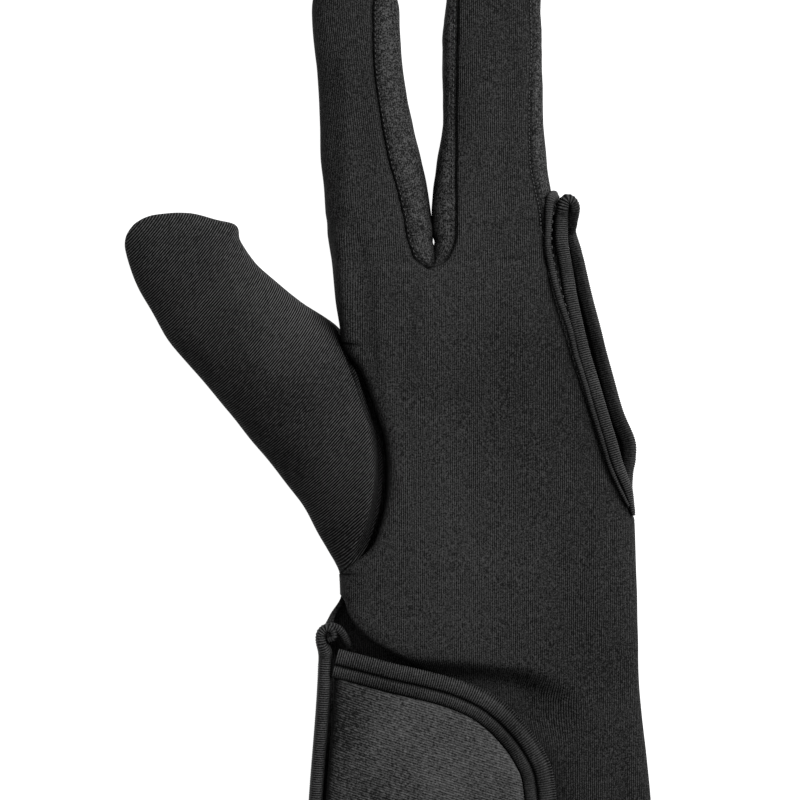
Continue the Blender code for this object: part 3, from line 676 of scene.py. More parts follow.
def ridgePlace(up):
    section = bodySection(min(up, ridge["strapHigh"]), -ridge["strapStand"] - ridge["strapWall"])
    x = body["left"](up) * hand["palmWidth"] + ridge["width"] / 2 - 0.3
    over = skin(section, angleAt(section, x + ridge["width"] / 2 + 0.3)).z
    return Vector((x, up * hand["bodyLength"], over + ridge["proud"] - ridge["height"] / 2))


def flankAngle(up):
    section = bodySection(up)
    height = (ridgePlace(up).z - ridge["height"] / 2 - 0.3 - section.mid) / section.rise
    height *= min(1.0, max(0.0, (hand["slitTop"] - up) / (hand["slitTop"] - ridge["top"])))
    return 180 - heightAngle(min(height, 0.97), hand["bodyPower"])


def seamAt(up):
    along = (up - hand["thumbLow"]) / (hand["thumbHigh"] - hand["thumbLow"])
    return thumbSeam["x"](along) * hand["palmWidth"]


def openingFront(up):
    return opening["front"](up) * hand["palmWidth"]


def edgeBelowFold(section):
    return 360 - heightAngle((rolled["width"] / 2 + 0.3) / (section.drop - 1.4), hand["underPower"])


SlitRow = namedtuple("SlitRow", "y x")
slitRows = (  # the front panel's free edge at the wrist slit, tucked in under the strap
    SlitRow(0.0, -36.0),
    SlitRow(10.0, -36.0),
    SlitRow(22.0, -33.0),
    SlitRow(40.0, -23.0),
    SlitRow(50.0, -17.5),
    SlitRow(57.0, -17.0),
    SlitRow(60.0, -20.5),
    SlitRow(63.6, -26.4),
    SlitRow(67.8, -32.4),
    SlitRow(72.0, -36.6),
    SlitRow(75.5, -38.2),
    SlitRow(78.5, -38.9),
)
slitEdge = curvesOf(slitRows)["x"]


def frontSpan(up):
    section = bodySection(up)
    left, right = 180.0, 0.0
    if up < hand["slitTop"]:
        left = angleAt(section, slitEdge(up * hand["bodyLength"]))
    elif hand["thumbLow"] < up < hand["thumbHigh"]:
        left = angleAt(section, seamAt(up) + hand["seamGap"])
    if up > hand["merge"]:
        right = angleAt(section, openingFront(up))
    return left, right


def backSpan(up):
    section = bodySection(up)
    left, right = 180.0, 360.0
    if up < hand["slitTop"]:
        left = flankAngle(up)
    elif hand["thumbLow"] < up < hand["thumbHigh"]:
        left = angleAt(section, seamAt(up) + hand["seamGap"], under=True)
    if up > hand["merge"]:
        right = edgeBelowFold(section)
    return left, right


def fingerSpan(one, up, under=False):
    section = fingerSection(one, up)
    axis = one["axis"](up) * hand["palmWidth"]
    turn = max(0.0, (up * one["length"] - one["length"] + finger["tip"]) / finger["tip"] * 90)
    close = math.cos(math.radians(min(90, turn * 90 / finger["seamEnd"])))
    fold = 360 if under else 0
    spans = []
    for column, edge in (("leftSeam", 180), ("rightSeam", fold)):
        seam = angleAt(section, axis + one[column](up) * one["width"], under)
        spans.append(edge + (seam - edge) * close)
    inward = 1 if under else -1
    left = spans[0] if one["name"] == "index" else slide(section, spans[0], inward * hand["seamGap"])
    right = slide(section, spans[1], -inward * hand["seamGap"])
    if one["name"] == "middle" and up < finger["openingTop"]:
        if under:
            right = edgeBelowFold(section)
        elif up < finger["tailLow"]:
            right = angleAt(section, openingFront(1 + up * one["length"] / hand["bodyLength"]))
    return left, right


# Columns of a row of cloth, finest beside its two edges


def fineEnds(count, power=1.5):
    shares = [k / count for k in range(count + 1)]
    return [0.5 * (2 * t) ** power if t < 0.5 else 1 - 0.5 * (2 - 2 * t) ** power for t in shares]


def stretchAcross(section, first, last, shares, samples=90):
    # angles at these shares of the way from one angle to the other, measured round the section
    angles = even(first, last, samples)
    points = [skin(section, angle) for angle in angles]
    ways = [0.0]
    for a, b in zip(points, points[1:]):
        ways.append(ways[-1] + (b - a).length)
    found, k = [], 0
    for share in shares:
        want = share * ways[-1]
        while k < samples - 1 and ways[k + 1] < want:
            k += 1
        gap = ways[k + 1] - ways[k]
        t = (want - ways[k]) / gap if gap > 1e-9 else 0.0
        found.append((angles[k] + (angles[k + 1] - angles[k]) * t, want))
    return found, ways[-1]


# Relief of the cloth: seams that pull in, puckers, folds and slow waves

relief = dict(
    wave=0.30,  # slow waves of the resting cloth
    ripple=0.07,
    seamDepth=1.0,
    seamWidth=0.75,
    pucker=0.11,
    puckerPitch=3.1,
    thumbValley=3.0,  # the palm dips towards the thumb's seam
    thumbValleyWidth=2.6,
    slitRoll=1.6,  # the free edge at the wrist slit rolls in
    slitRollWidth=1.6,
)


def thumbValley(up):
    ends = ease((up - hand["thumbLow"]) / 0.06) * ease((hand["thumbHigh"] - up) / 0.05)
    return relief["thumbValley"] * ends


FoldRow = namedtuple("FoldRow", "x1 y1 x2 y2 width height")
frontFolds = (
    FoldRow(-38.5, 178, -36.5, 150, 2.0, 1.00),  # light ridge at the foot of the first finger
    FoldRow(-36.8, 225, -37.2, 188, 2.4, 0.55),
    FoldRow(-33.0, 176, -30.5, 146, 2.2, -0.60),
    FoldRow(-27.0, 150, -23.0, 112, 3.2, 0.45),
    FoldRow(-14.5, 165, -15.0, 138, 3.6, 0.40),
    FoldRow(-6.0, 130, -2.0, 95, 6.0, -0.50),
    FoldRow(10.0, 160, 14.0, 110, 5.0, 0.40),
    FoldRow(20.0, 100, 27.0, 66, 6.0, -0.50),
    FoldRow(28.0, 46, 30.0, 14, 5.0, 0.60),
    FoldRow(38.0, 60, 39.0, 20, 3.5, -0.45),
    FoldRow(8.0, 238, 6.0, 190, 2.8, -0.30),
)
backFolds = (
    FoldRow(-10.0, 150, -4.0, 100, 6.0, -0.45),
    FoldRow(18.0, 120, 24.0, 60, 6.0, -0.40),
    FoldRow(-30.0, 200, -28.0, 160, 3.0, -0.30),
    FoldRow(0.0, 60, 10.0, 20, 6.0, -0.40),
)
hollow = dict(  # where the front panel drops away behind the strap's upper edge
    xs=(-44.0, -38.9, -33.0, -26.4, -19.0, -9.0, 2.0, 12.0, 20.0, 34.0),
    ys=(86.0, 77.0, 68.5, 65.5, 63.0, 62.2, 61.4, 60.0, 57.0, 50.0),
    deep=5.0,
    ramp=5.6,
    fadeLow=36.0,
    fadeHigh=47.0,
)
brink = curveThrough(hollow["xs"], hollow["ys"])


def foldHeight(folds, x, y):
    total = 0.0
    for fold in folds:
        dx, dy = fold.x2 - fold.x1, fold.y2 - fold.y1
        t = ((x - fold.x1) * dx + (y - fold.y1) * dy) / (dx * dx + dy * dy)
        inside = min(max(t, 0.0), 1.0)
        away = math.hypot(x - fold.x1 - dx * inside, y - fold.y1 - dy * inside)
        if away < 3 * fold.width:
            total += fold.height * hill(away, 0, fold.width)
    return total


def slowWaves(x, y, seed):
    wide = grain(x / 13, y / 34, seed) * relief["wave"]
    return wide + grain(x / 4.5, y / 9, seed + 5) * relief["ripple"]


def seamDip(away, along, seed):
    if away > 9:
        return 0.0
    dip = -relief["seamDepth"] * hill(away, 0, relief["seamWidth"])
    phase = wave * along / relief["puckerPitch"] + 3 * grain(along / 7, seed, 2.0)
    return dip + relief["pucker"] * math.sin(phase) * math.exp(-away / 2.2) * min(1.0, away / 0.6)


def frontRelief(point, fromLeft, fromRight, up, one=None):
    x, y = point.x, point.y
    if one:
        amount = seamDip(fromRight, y, 1.0) * ease(up / 0.03)
        if one["name"] == "middle":
            amount += seamDip(fromLeft, y, 2.0) * ease(up / 0.03)
        close = max(0.0, 1 - (up * one["length"] - one["length"] + finger["tip"]) / finger["tip"])
        return amount + (slowWaves(x, y, 3.0) + foldHeight(frontFolds, x, y)) * min(1.0, close)
    amount = slowWaves(x, y, 3.0) + foldHeight(frontFolds, x, y)
    seam = ease((up - hand["thumbLow"]) / 0.06) * ease((hand["thumbHigh"] - up) / 0.06)
    if seam > 0:
        amount += seam * seamDip(fromLeft, y, 4.0)
        amount -= thumbValley(up) * math.exp(-((fromLeft / relief["thumbValleyWidth"]) ** 1.5))
    elif up < hand["slitTop"]:
        amount -= relief["slitRoll"] * math.exp(-fromLeft / relief["slitRollWidth"]) * ease((y - 40) / 10)
    beside = ease((up - hand["merge"]) / 0.03)
    if beside > 0:
        amount += beside * (seamDip(fromRight, y, 5.0) - 0.35 * math.exp(-fromRight / 3.0))
    below = (brink(x) - y) * 0.82
    if below > 0:
        kept = ease((y - hollow["fadeLow"]) / (hollow["fadeHigh"] - hollow["fadeLow"]))
        amount -= hollow["deep"] * ease(below / hollow["ramp"]) * kept * ease((30.0 - x) / 18.0)
    return amount * ease(up / 0.06 - 0.3)


def backRelief(point, fromLeft, fromRight, up, one=None):
    x, y = point.x, point.y
    waves = min(0.0, slowWaves(x, y, 8.0) - 0.12) + foldHeight(backFolds, x, y)
    if one:
        amount = seamDip(fromRight, y, 11.0) * ease(up / 0.03)
        if one["name"] == "middle":
            amount += seamDip(fromLeft, y, 12.0) * ease(up / 0.03)
        close = max(0.0, 1 - (up * one["length"] - one["length"] + finger["tip"]) / finger["tip"])
        return amount + waves * min(1.0, close)
    seam = ease((up - hand["thumbLow"]) / 0.06) * ease((hand["thumbHigh"] - up) / 0.06)
    waves += seam * seamDip(fromLeft, y, 14.0)
    return waves * ease(up / 0.06 - 0.3)


def clothRow(sectionAt, first, last, shares, reliefAt, home):
    # home is (x, across) of the place where the wales are counted from
    section, inside = sectionAt(0.0), sectionAt(hand["wall"])
    spots, total = stretchAcross(section, first, last, shares)
    cloth = []
    homeAway = min(range(len(spots)), key=lambda k: abs(skin(section, spots[k][0]).x - home[0]))
    zero = spots[homeAway][1]
    nearest = skin(section, spots[homeAway][0]).x
    row = []
    for angle, way in spots:
        outer, inner = skin(section, angle), skin(inside, angle)
        amount = reliefAt(outer, way, total - way)
        normal = (outer - inner).normalized()
        outer = outer + normal * amount
        inner = inner + normal * amount
        outer.z = max(outer.z, 0.03)
        inner.z = max(inner.z, outer.z + 0.4) if normal.z < -0.5 else inner.z
        row.append((outer, inner, home[1] + way - zero + nearest - home[0], section.y))
    return row


panels = dict(rowStep=0.9, indexColumns=38, middleColumns=44)


def rowsBetween(first, last, length):
    return even(first, last, max(2, round((last - first) * length / panels["rowStep"])))


def panelPiece(name, span, under, reliefAt, node):
    splitX = hand["split"] * hand["palmWidth"]
    indexShares, middleShares = fineEnds(panels["indexColumns"]), fineEnds(panels["middleColumns"])
    bodyGrid = []
    for up in rowsBetween(hemUp, 1.0, hand["bodyLength"]):
        left, right = span(up)
        section = bodySection(up)
        middleAngle = angleAt(section, splitX, under)
        total = stretchAcross(section, left, right, (1.0,))[1]
        leftTotal = stretchAcross(section, left, middleAngle, (1.0,))[1]
        sectionAt = lambda depth: bodySection(up, depth)
        near = clothRow(
            sectionAt, left, middleAngle, indexShares,
            lambda p, a, b: reliefAt(p, a, total - a, up), (splitX, 0.0))
        far = clothRow(
            sectionAt, middleAngle, right, middleShares,
            lambda p, a, b: reliefAt(p, leftTotal + a, b, up), (splitX, 0.0))
        bodyGrid.append(near + far[1:])
    grids = [bodyGrid]
    count = panels["indexColumns"]
    for one, shares, first in ((index, indexShares, 0), (middle, middleShares, count)):
        strip = [bodyGrid[-1][first : first + len(shares)]]
        tip = 1 - finger["tip"] / one["length"]
        turned = [tip + (1 - tip) * turn / 90 for turn in (8, 16, 24, 32, 40, 48, 56, 63, 70, 76, 81, 85, 88, 89.5)]
        for up in rowsBetween(0.0, tip, one["length"])[2:] + turned:
            left, right = fingerSpan(one, up, under)
            axis = one["axis"](up) * hand["palmWidth"]
            home = (axis, one["axis"](0.0) * hand["palmWidth"] - splitX)
            sectionAt = lambda depth: fingerSection(one, up, depth)
            strip.append(clothRow(
                sectionAt, left, right, shares,
                lambda p, a, b: reliefAt(p, a, b, up, one), home))
        grids.append(strip)
    return clothPiece(name, grids, "knit", node)


panelPiece("frontPanel", frontSpan, False, frontRelief, "front_panel")
panelPiece("backPanel", backSpan, True, backRelief, "back_panel")
print("panels made:", glove["triangles"], "triangles")

# The thumb

ThumbRow = namedtuple("ThumbRow", "lowAlong lowAcross highAlong highAcross thick")
thumbRows = (
    ThumbRow(-0.268, -0.595, 0.276, 0.568, 1.12),
    ThumbRow(-0.151, -0.581, 0.340, 0.597, 1.12),
    ThumbRow(-0.013, -0.533, 0.469, 0.480, 1.10),
    ThumbRow(0.142, -0.545, 0.561, 0.420, 1.07),
    ThumbRow(0.296, -0.558, 0.648, 0.380, 1.04),
    ThumbRow(0.455, -0.584, 0.725, 0.396, 1.00),
    ThumbRow(0.611, -0.603, 0.765, 0.444, 0.96),
    ThumbRow(0.747, -0.562, 0.819, 0.328, 0.88),
    ThumbRow(0.855, -0.500, 0.882, 0.190, 0.74),
    ThumbRow(0.925, -0.410, 0.922, 0.044, 0.54),
    ThumbRow(0.946, -0.336, 0.949, -0.090, 0.40),
    ThumbRow(0.957, -0.248, 0.955, -0.173, 0.00),
)
thumb = dict(
    length=92.0,
    width=33.0,
    thickness=14.0,
    angle=127.0,
    rootX=-0.465,
    rootUp=0.6916,
    power=2.15,
    seamRise=1.1,  # how fast the cloth climbs out of the seam's valley
    halfRing=52,  # columns over the top, and as many underneath
    rowsEach=7,  # rows between two rows of the table
    sagRows=5,
    wave=0.38,
)


def thumbRing():
    # the seam: along the front from its upper end to its lower one, and back underneath
    low, high, half = hand["thumbLow"], hand["thumbHigh"], thumb["halfRing"]
    stations = [low + (high - low) * (1 - math.cos(math.pi * k / half)) / 2 for k in range(half + 1)]
    ring = []
    for under, ups in ((False, stations[::-1]), (True, stations[1:-1])):
        for up in ups:
            section = bodySection(up)
            if up in (stations[0], stations[-1]):
                ring.append(Vector((section.left - 0.1, section.y, section.mid)))
            else:
                ring.append(skin(section, angleAt(section, seamAt(up) - hand["seamGap"], under)))
    return ring


def thumbPiece():
    half = thumb["halfRing"]
    turn = math.radians(thumb["angle"])
    along = Vector((math.cos(turn), math.sin(turn), 0))
    across = Vector((math.sin(turn), -math.cos(turn), 0))
    mid = hand["foldHeight"] * hand["palmThickness"]
    root = Vector((thumb["rootX"] * hand["palmWidth"], thumb["rootUp"] * hand["bodyLength"], mid))
    table = curvesOf(thumbRows, list(range(len(thumbRows))))
    base = thumbRing()
    high, low = base[0], base[half]
    sags = [point - high - (low - high) * ((high.y - point.y) / (high.y - low.y)) for point in base]
    seamDrops = [thumbValley(point.y / hand["bodyLength"]) * (1 + relief["seamDepth"] / relief["thumbValley"]) for point in base]
    last = len(thumbRows) - 1
    steps = [k / thumb["rowsEach"] for k in range(last * thumb["rowsEach"])]
    steps += [last - 1 + 1 - 0.5**k / thumb["rowsEach"] for k in range(1, 5)] + [last]
    outerRows = []
    for t in steps:
        lowSide = root + along * table["lowAlong"](t) * thumb["length"] + across * table["lowAcross"](t) * thumb["width"]
        highSide = root + along * table["highAlong"](t) * thumb["length"] + across * table["highAcross"](t) * thumb["width"]
        width, side = (highSide - lowSide).length, (highSide - lowSide).normalized()
        total = thumb["thickness"] * table["thick"](t)
        if t > last - 1:
            total = thumb["thickness"] * thumbRows[-2].thick * math.sqrt(max(0.0, 1 - (t - last + 1) ** 2))
        drop = min(mid, total / 2)
        shape = Section(0, -width / 2, width / 2, 0, total - drop, drop, thumb["power"], thumb["power"])
        fade = max(0.0, 1 - t / thumb["sagRows"]) ** 1.5
        row = []
        for k in range(2 * half):
            here = skin(shape, 180 * k / half)
            point = (lowSide + highSide) / 2 + side * here.x + Vector((0, 0, here.z))
            point += Vector((sags[k].x, sags[k].y, 0)) * fade
            row.append(base[k].lerp(point, ease(t)))
        outerRows.append(row)
    grid = []
    count = 2 * half
    for n, row in enumerate(outerRows):
        pairs = []
        below, above = outerRows[max(n - 1, 0)], outerRows[min(n + 1, len(outerRows) - 1)]
        fromSeam = 0.0
        for k in range(count):
            acrossWay = row[(k + 1) % count] - row[k - 1]
            alongWay = above[k] - below[k]
            normal = alongWay.cross(acrossWay).normalized()
            if normal.length < 0.5:
                normal = along.copy()
            point = row[k]
            away = (point - outerRows[0][k]).length
            tip = 1 - ease((steps[n] - last + 1.6) / 1.6)
            amount = grain(point.x / 12, point.y / 12, 21.0) * thumb["wave"] * tip * ease(away / 6)
            if k > half and steps[n] < last - 1:
                normal.z = -abs(normal.z)
                amount = min(amount, 0.0)
            elif 0 < k < half:
                normal.z = abs(normal.z)
                point = point - Vector((0, 0, seamDrops[k] * math.exp(-((away / thumb["seamRise"]) ** 1.5))))
            wall = hand["wall"] * min(1.0, 0.25 + 3.0 * (last - steps[n]) / last * 2)
            outer = point + normal * amount
            outer.z = max(outer.z, 0.03)
            setback = hand["wall"] * 1.2 * ease((steps[n] - last + 2.0) / 2.0)
            pairs.append([outer, outer - normal * wall - along * setback, 0.0, away])
        # near the closed tip the two inner faces stay apart
        for k in range(count):
            other = pairs[(2 * half - k) % count]
            if steps[n] > last - 1 and 0 < k < half:
                midline = (pairs[k][0].z + other[0].z) / 2
                pairs[k][1].z = max(pairs[k][1].z, midline + 0.02)
                other[1].z = min(other[1].z, midline - 0.02)
        grid.append([tuple(pair) for pair in pairs] + [tuple(pairs[0])])
    clothPiece("thumbCloth", [grid], "rib", "thumb")


thumbPiece()
print("thumb made:", glove["triangles"], "triangles")

# The fourchettes: strips between the two panels along the fingers' sides

fourchette = dict(columns=18, seamWidth=0.8, bulge=0.25)


def fourchetteRow(one, up, right, crotch=False, span=None):
    section = fingerSection(one, up)
    gap = hand["seamGap"] * 2
    if span:
        top, low = span
    else:
        edge = 1 if right else 0
        top = slide(section, fingerSpan(one, up)[edge], gap * (1 - 2 * edge))
        low = slide(section, fingerSpan(one, up, True)[edge], gap * (2 * edge - 1))
        if right:
            low -= 360
    inside = fingerSection(one, up, hand["wall"])
    spots, total = stretchAcross(section, top, low, fineEnds(fourchette["columns"]), 40)
    row = []
    for angle, way in spots:
        outer, inner = skin(section, angle), skin(inside, angle)
        if crotch:
            inner = inner - Vector((0, hand["wall"], 0))
        normal = (outer - inner).normalized()
        amount = fourchette["bulge"] * grain(outer.y / 7, way / 5, 31.0 + right)
        for away, seed in ((way, 32.0), (total - way, 33.0)):
            amount += seamDip(away, outer.y, seed)
        outer = outer + normal * amount
        outer.z = max(outer.z, 0.03)
        row.append((outer, inner + normal * amount, way, outer.y))
    return row


def fingerUps(one, first):
    tip = 1 - finger["tip"] / one["length"]
    turned = [tip + (1 - tip) * turn / 90 for turn in (8, 16, 24, 32, 40, 48, 56, 63, 70, 75)]
    return rowsBetween(first, tip, one["length"]) + turned


def innerFourchette():
    low = 1.0 + hand["wall"]
    indexUps = [up for up in fingerUps(index, 0.0) if up * index["length"] > 1.6 * low]
    middleUps = [up for up in fingerUps(middle, 0.0) if up * middle["length"] > 1.6 * low]
    rows = [fourchetteRow(index, up, True) for up in reversed(indexUps)]
    last = fourchetteRow(index, low / index["length"], True, True)
    first = fourchetteRow(middle, low / middle["length"], False, True)
    rows.append(last)
    for share in (0.25, 0.5, 0.75):
        dip = Vector((0, -0.9 * math.sin(math.pi * share), 0))
        rows.append([
            (a[0].lerp(b[0], share) + dip, a[1].lerp(b[1], share) + dip, a[2], a[3] - 2 * share)
            for a, b in zip(last, first)])
    rows.append(first)
    rows += [fourchetteRow(middle, up, False) for up in middleUps]
    clothPiece("innerFourchette", [rows], "mottled", "inner_fourchette")


def outerFourchette():
    rows = []
    for up in fingerUps(middle, finger["tailLow"]):
        if up >= finger["openingTop"]:
            rows.append(fourchetteRow(middle, up, True))
            continue
        section = fingerSection(middle, up)
        first = slide(section, fingerSpan(middle, up)[1], -hand["seamGap"] * 2)
        last = angleAt(section, openingFront(1 + up * middle["length"] / hand["bodyLength"]))
        rows.append(fourchetteRow(middle, up, True, span=(first, min(last, first - 1))))
    clothPiece("outerFourchette", [rows], "mottled", "outer_fourchette")


innerFourchette()
outerFourchette()
print("fourchettes made:", glove["triangles"], "triangles")

# Tape: a rounded section swept along a smooth path, ribbed across

tapes = dict(
    thickness=2.4,
    step=0.155,
    pitch=0.62,
    ribHeight=0.17,
    squareness=3.2,
)
Stop = namedtuple("Stop", "place up width thick")


def tapeSection(grooves=(), top=18, low=8):
    # grooves lie along the top, each at a place across it, with a width and a depth
    points = []
    for k in range(top + 1):
        a = math.cos(math.pi * k / top)
        b = max(1 - abs(a) ** tapes["squareness"], 0.0) ** 0.5
        for place, width, depth in grooves:
            b *= 1 - depth * hill(a, place, width)
        points.append((a, b))
    for k in range(1, low):
        a = -math.cos(math.pi * k / low)
        points.append((a, -max(1 - abs(a) ** tapes["squareness"], 0.0) ** 0.5))
    return points


def alongCurve(stops, at):
    # a smooth curve through the stops: at 2.4 is 0.4 of the way from the third to the fourth
    k = min(int(at), len(stops) - 2)
    t = at - k
    p0, p1, p2, p3 = (stops[min(max(k + j, 0), len(stops) - 1)] for j in (-1, 0, 1, 2))
    return 0.5 * (2 * p1 + (p2 - p0) * t + (2 * p0 - 5 * p1 + 4 * p2 - p3) * t**2 + (3 * p1 - p0 - 3 * p2 + p3) * t**3)


def evenMarks(middles, step):
    # marks along the curve at equal distances
    fine, ways = 24, [0.0]
    previous = middles[0]
    for n in range(1, (len(middles) - 1) * fine + 1):
        here = alongCurve(middles, n / fine)
        ways.append(ways[-1] + (here - previous).length)
        previous = here
    count = round(ways[-1] / step)
    marks, k = [], 0
    for n in range(count + 1):
        want = ways[-1] * n / count
        while k < len(ways) - 2 and ways[k + 1] < want:
            k += 1
        marks.append((k + (want - ways[k]) / max(ways[k + 1] - ways[k], 1e-9)) / fine)
    return marks, ways[-1]


def sweep(stops, section, ribHeight=None, slant=0.0, loops=None):
    # one closed length of tape: its points, faces and places on the cloth
    middles = [stop.place for stop in stops]
    marks, total = evenMarks(middles, tapes["step"])
    height = tapes["ribHeight"] if ribHeight is None else ribHeight
    centres = [alongCurve(middles, mark) for mark in marks]
    points, faces, cloth = [], [], []
    count, around = len(marks) - 1, len(section)
    for n, mark in enumerate(marks):
        share = n / count
        ahead = (centres[min(n + 1, count)] - centres[max(n - 1, 0)]).normalized()
        k = min(int(mark), len(stops) - 2)
        one, other, t = stops[k], stops[k + 1], ease(mark - k)
        up = one.up.lerp(other.up, t)
        side = ahead.cross(up).normalized()
        up = side.cross(ahead).normalized()
        width = one.width + (other.width - one.width) * t
        thick = one.thick + (other.thick - one.thick) * t
        flat = [(a * width / 2, b * thick / 2) for a, b in section]
        for m, (a, b) in enumerate(flat):
            before, after = flat[m - 1], flat[(m + 1) % around]
            out = Vector((after[1] - before[1], before[0] - after[0]))
            out = out.normalized() if out.length > 1e-6 else Vector((0, 1))
            rise = 0.5 + 0.5 * math.cos(wave * total * share / tapes["pitch"] + slant * section[m][0])
            swell = height * rise
            if loops:
                swell += loops(share, section[m][0]) * rise**2
            place = centres[n] + side * (a + out.x * swell) + up * (b + out.y * swell)
            place.z = max(place.z, 0.03)
            points.append(place)
            cloth.append((a, total * share))
    for n in range(count):
        here, there = n * around, (n + 1) * around
        for m in range(around):
            o = (m + 1) % around
            faces.append([here + m, there + m, there + o, here + o])
    faces.append(list(range(around)))
    faces.append([count * around + m for m in range(around)][::-1])
    if volume(points, faces) < 0:
        faces = [face[::-1] for face in faces]
    return points, faces, cloth


def tapePiece(name, shells, node, look="tape"):
    points, faces, cloth = [], [], []
    for shell in shells:
        faces += [[k + len(points) for k in face] for face in shell[1]]
        points += shell[0]
        cloth += shell[2]
    return meshPiece(name, points, faces, cloth, look, node, 70.0)


def skinPair(x, y, depth=0.0):
    # places on the hand's own skin, and a wall's depth under it, above this x and y
    up = y / hand["bodyLength"]
    if up <= 1:
        outside, inside = bodySection(up, depth), bodySection(up, depth + hand["wall"])
    else:
        up = (y - hand["bodyLength"]) / middle["length"]
        outside, inside = fingerSection(middle, up, depth), fingerSection(middle, up, depth + hand["wall"])
    return skin(outside, angleAt(outside, x)), skin(inside, angleAt(inside, x))


# The side opening: a narrow cord along the front panel, a wide tape beside it that rolls over the top
# and comes back along the back panel

EdgeRow = namedtuple("EdgeRow", "y x width")
cordRows = (
    EdgeRow(187.8, 24.60, 2.40),
    EdgeRow(189.2, 23.30, 3.00),
    EdgeRow(190.0, 21.80, 3.10),
    EdgeRow(189.2, 20.05, 3.20),
    EdgeRow(187.0, 19.20, 2.30),
    EdgeRow(181.1, 18.75, 1.70),
    EdgeRow(175.8, 18.60, 1.70),
    EdgeRow(170.8, 19.30, 1.80),
    EdgeRow(165.0, 20.55, 1.80),
    EdgeRow(160.3, 21.85, 1.80),
    EdgeRow(152.2, 24.54, 1.70),
    EdgeRow(145.8, 26.03, 1.55),
    EdgeRow(138.1, 28.43, 1.45),
    EdgeRow(129.4, 30.93, 1.40),
    EdgeRow(121.7, 33.29, 1.30),
    EdgeRow(115.0, 35.38, 1.15),
    EdgeRow(108.6, 38.23, 1.00),
    EdgeRow(104.0, 40.70, 0.80),
)
frontTapeRows = (
    EdgeRow(101.5, 42.20, 0.90),
    EdgeRow(103.8, 41.70, 1.50),
    EdgeRow(108.6, 40.40, 2.60),
    EdgeRow(115.0, 37.70, 3.10),
    EdgeRow(121.7, 35.55, 3.50),
    EdgeRow(129.4, 33.20, 3.50),
    EdgeRow(138.1, 30.65, 3.50),
    EdgeRow(147.2, 27.95, 3.50),
    EdgeRow(160.3, 24.95, 3.60),
    EdgeRow(165.0, 24.20, 3.60),
    EdgeRow(170.8, 23.45, 3.50),
    EdgeRow(177.2, 22.50, 3.60),
    EdgeRow(183.9, 22.60, 3.60),
)
KnobRow = namedtuple("KnobRow", "x y z width thick")
knobRows = (  # the tape's roll at the top of the opening
    KnobRow(22.95, 186.7, 11.2, 3.3, 2.8),
    KnobRow(23.90, 188.5, 11.3, 3.1, 3.4),
    KnobRow(25.40, 188.1, 10.9, 2.9, 3.8),
    KnobRow(26.10, 186.4, 10.0, 3.2, 3.8),
    KnobRow(25.80, 184.4, 8.8, 3.4, 3.2),
    KnobRow(25.60, 182.4, 7.4, 3.2, 2.6),
)
backTapeRows = (
    EdgeRow(180.0, 25.80, 2.60),
    EdgeRow(174.7, 27.10, 3.20),
    EdgeRow(170.8, 27.95, 3.50),
    EdgeRow(165.0, 29.20, 3.60),
    EdgeRow(160.3, 30.35, 3.60),
    EdgeRow(152.2, 32.50, 3.60),
    EdgeRow(147.2, 33.70, 3.60),
    EdgeRow(138.1, 36.10, 3.80),
    EdgeRow(129.4, 38.50, 4.00),
    EdgeRow(121.7, 41.70, 4.00),
    EdgeRow(117.0, 42.10, 3.60),
    EdgeRow(112.6, 41.50, 3.30),
    EdgeRow(108.0, 41.40, 2.80),
    EdgeRow(104.0, 41.70, 2.20),
)
edging = dict(
    cordThick=1.9,
    cordLift=0.35,
    tapeLift=0.25,
    backHeight=5.3,
    backLean=-0.55,  # the back tape faces into the opening
    endHeight=4.5,  # how far the back tape climbs under the front one at its foot
)


def openingBinding():
    cord, path = [], []
    for row in cordRows:
        outer, inner = skinPair(row.x, row.y)
        normal = (outer - inner).normalized()
        cord.append(Stop(outer + normal * edging["cordLift"], normal, row.width, edging["cordThick"]))
    for row in frontTapeRows:
        outer, inner = skinPair(row.x, row.y)
        normal = ((outer - inner).normalized() + Vector((0, 0, 0.6))).normalized()
        path.append(Stop(outer + normal * edging["tapeLift"], normal, row.width, tapes["thickness"]))
    for row in knobRows:
        path.append(Stop(Vector((row.x, row.y, row.z)), Vector((0, 0, 1)), row.width, row.thick))
    lean = Vector((edging["backLean"], 0, 1)).normalized()
    for k, row in enumerate(backTapeRows):
        climbing = max(0, k - len(backTapeRows) + 3) / 2
        place = Vector((row.x, row.y, edging["backHeight"] + edging["endHeight"] * climbing**2))
        path.append(Stop(place, lean, row.width, tapes["thickness"]))
    plain = tapeSection()
    tapePiece("openingTape", [sweep(path, plain), sweep(cord, tapeSection(top=12, low=6))], "opening_binding")


# Stitches: short lengths of thread that show in the seams

stitch = dict(length=0.95, thick=0.34, lift=0.12, rings=4, around=6)


def stitchShell(middle, ahead, up):
    # a grain of thread, rounded at both ends
    side = ahead.cross(up).normalized()
    up = side.cross(ahead).normalized()
    rings, around = stitch["rings"], stitch["around"]
    points = [middle - ahead * stitch["length"] / 2]
    for r in range(1, rings + 1):
        t = math.cos(math.pi * r / (rings + 1))
        for m in range(around):
            turn = wave * m / around
            out = (side * math.cos(turn) + up * math.sin(turn)) * stitch["thick"] / 2 * math.sqrt(1 - t * t) ** 0.7
            points.append(middle - ahead * stitch["length"] / 2 * t + out)
    points.append(middle + ahead * stitch["length"] / 2)
    faces = []
    for m in range(around):
        o = (m + 1) % around
        faces.append([0, 1 + o, 1 + m])
        for r in range(rings - 1):
            here = 1 + r * around
            faces.append([here + m, here + o, here + around + o, here + around + m])
        top = 1 + (rings - 1) * around
        faces.append([top + m, top + o, len(points) - 1])
    if volume(points, faces) < 0:
        faces = [face[::-1] for face in faces]
    return points, faces, [(0.0, 0.0)] * len(points)


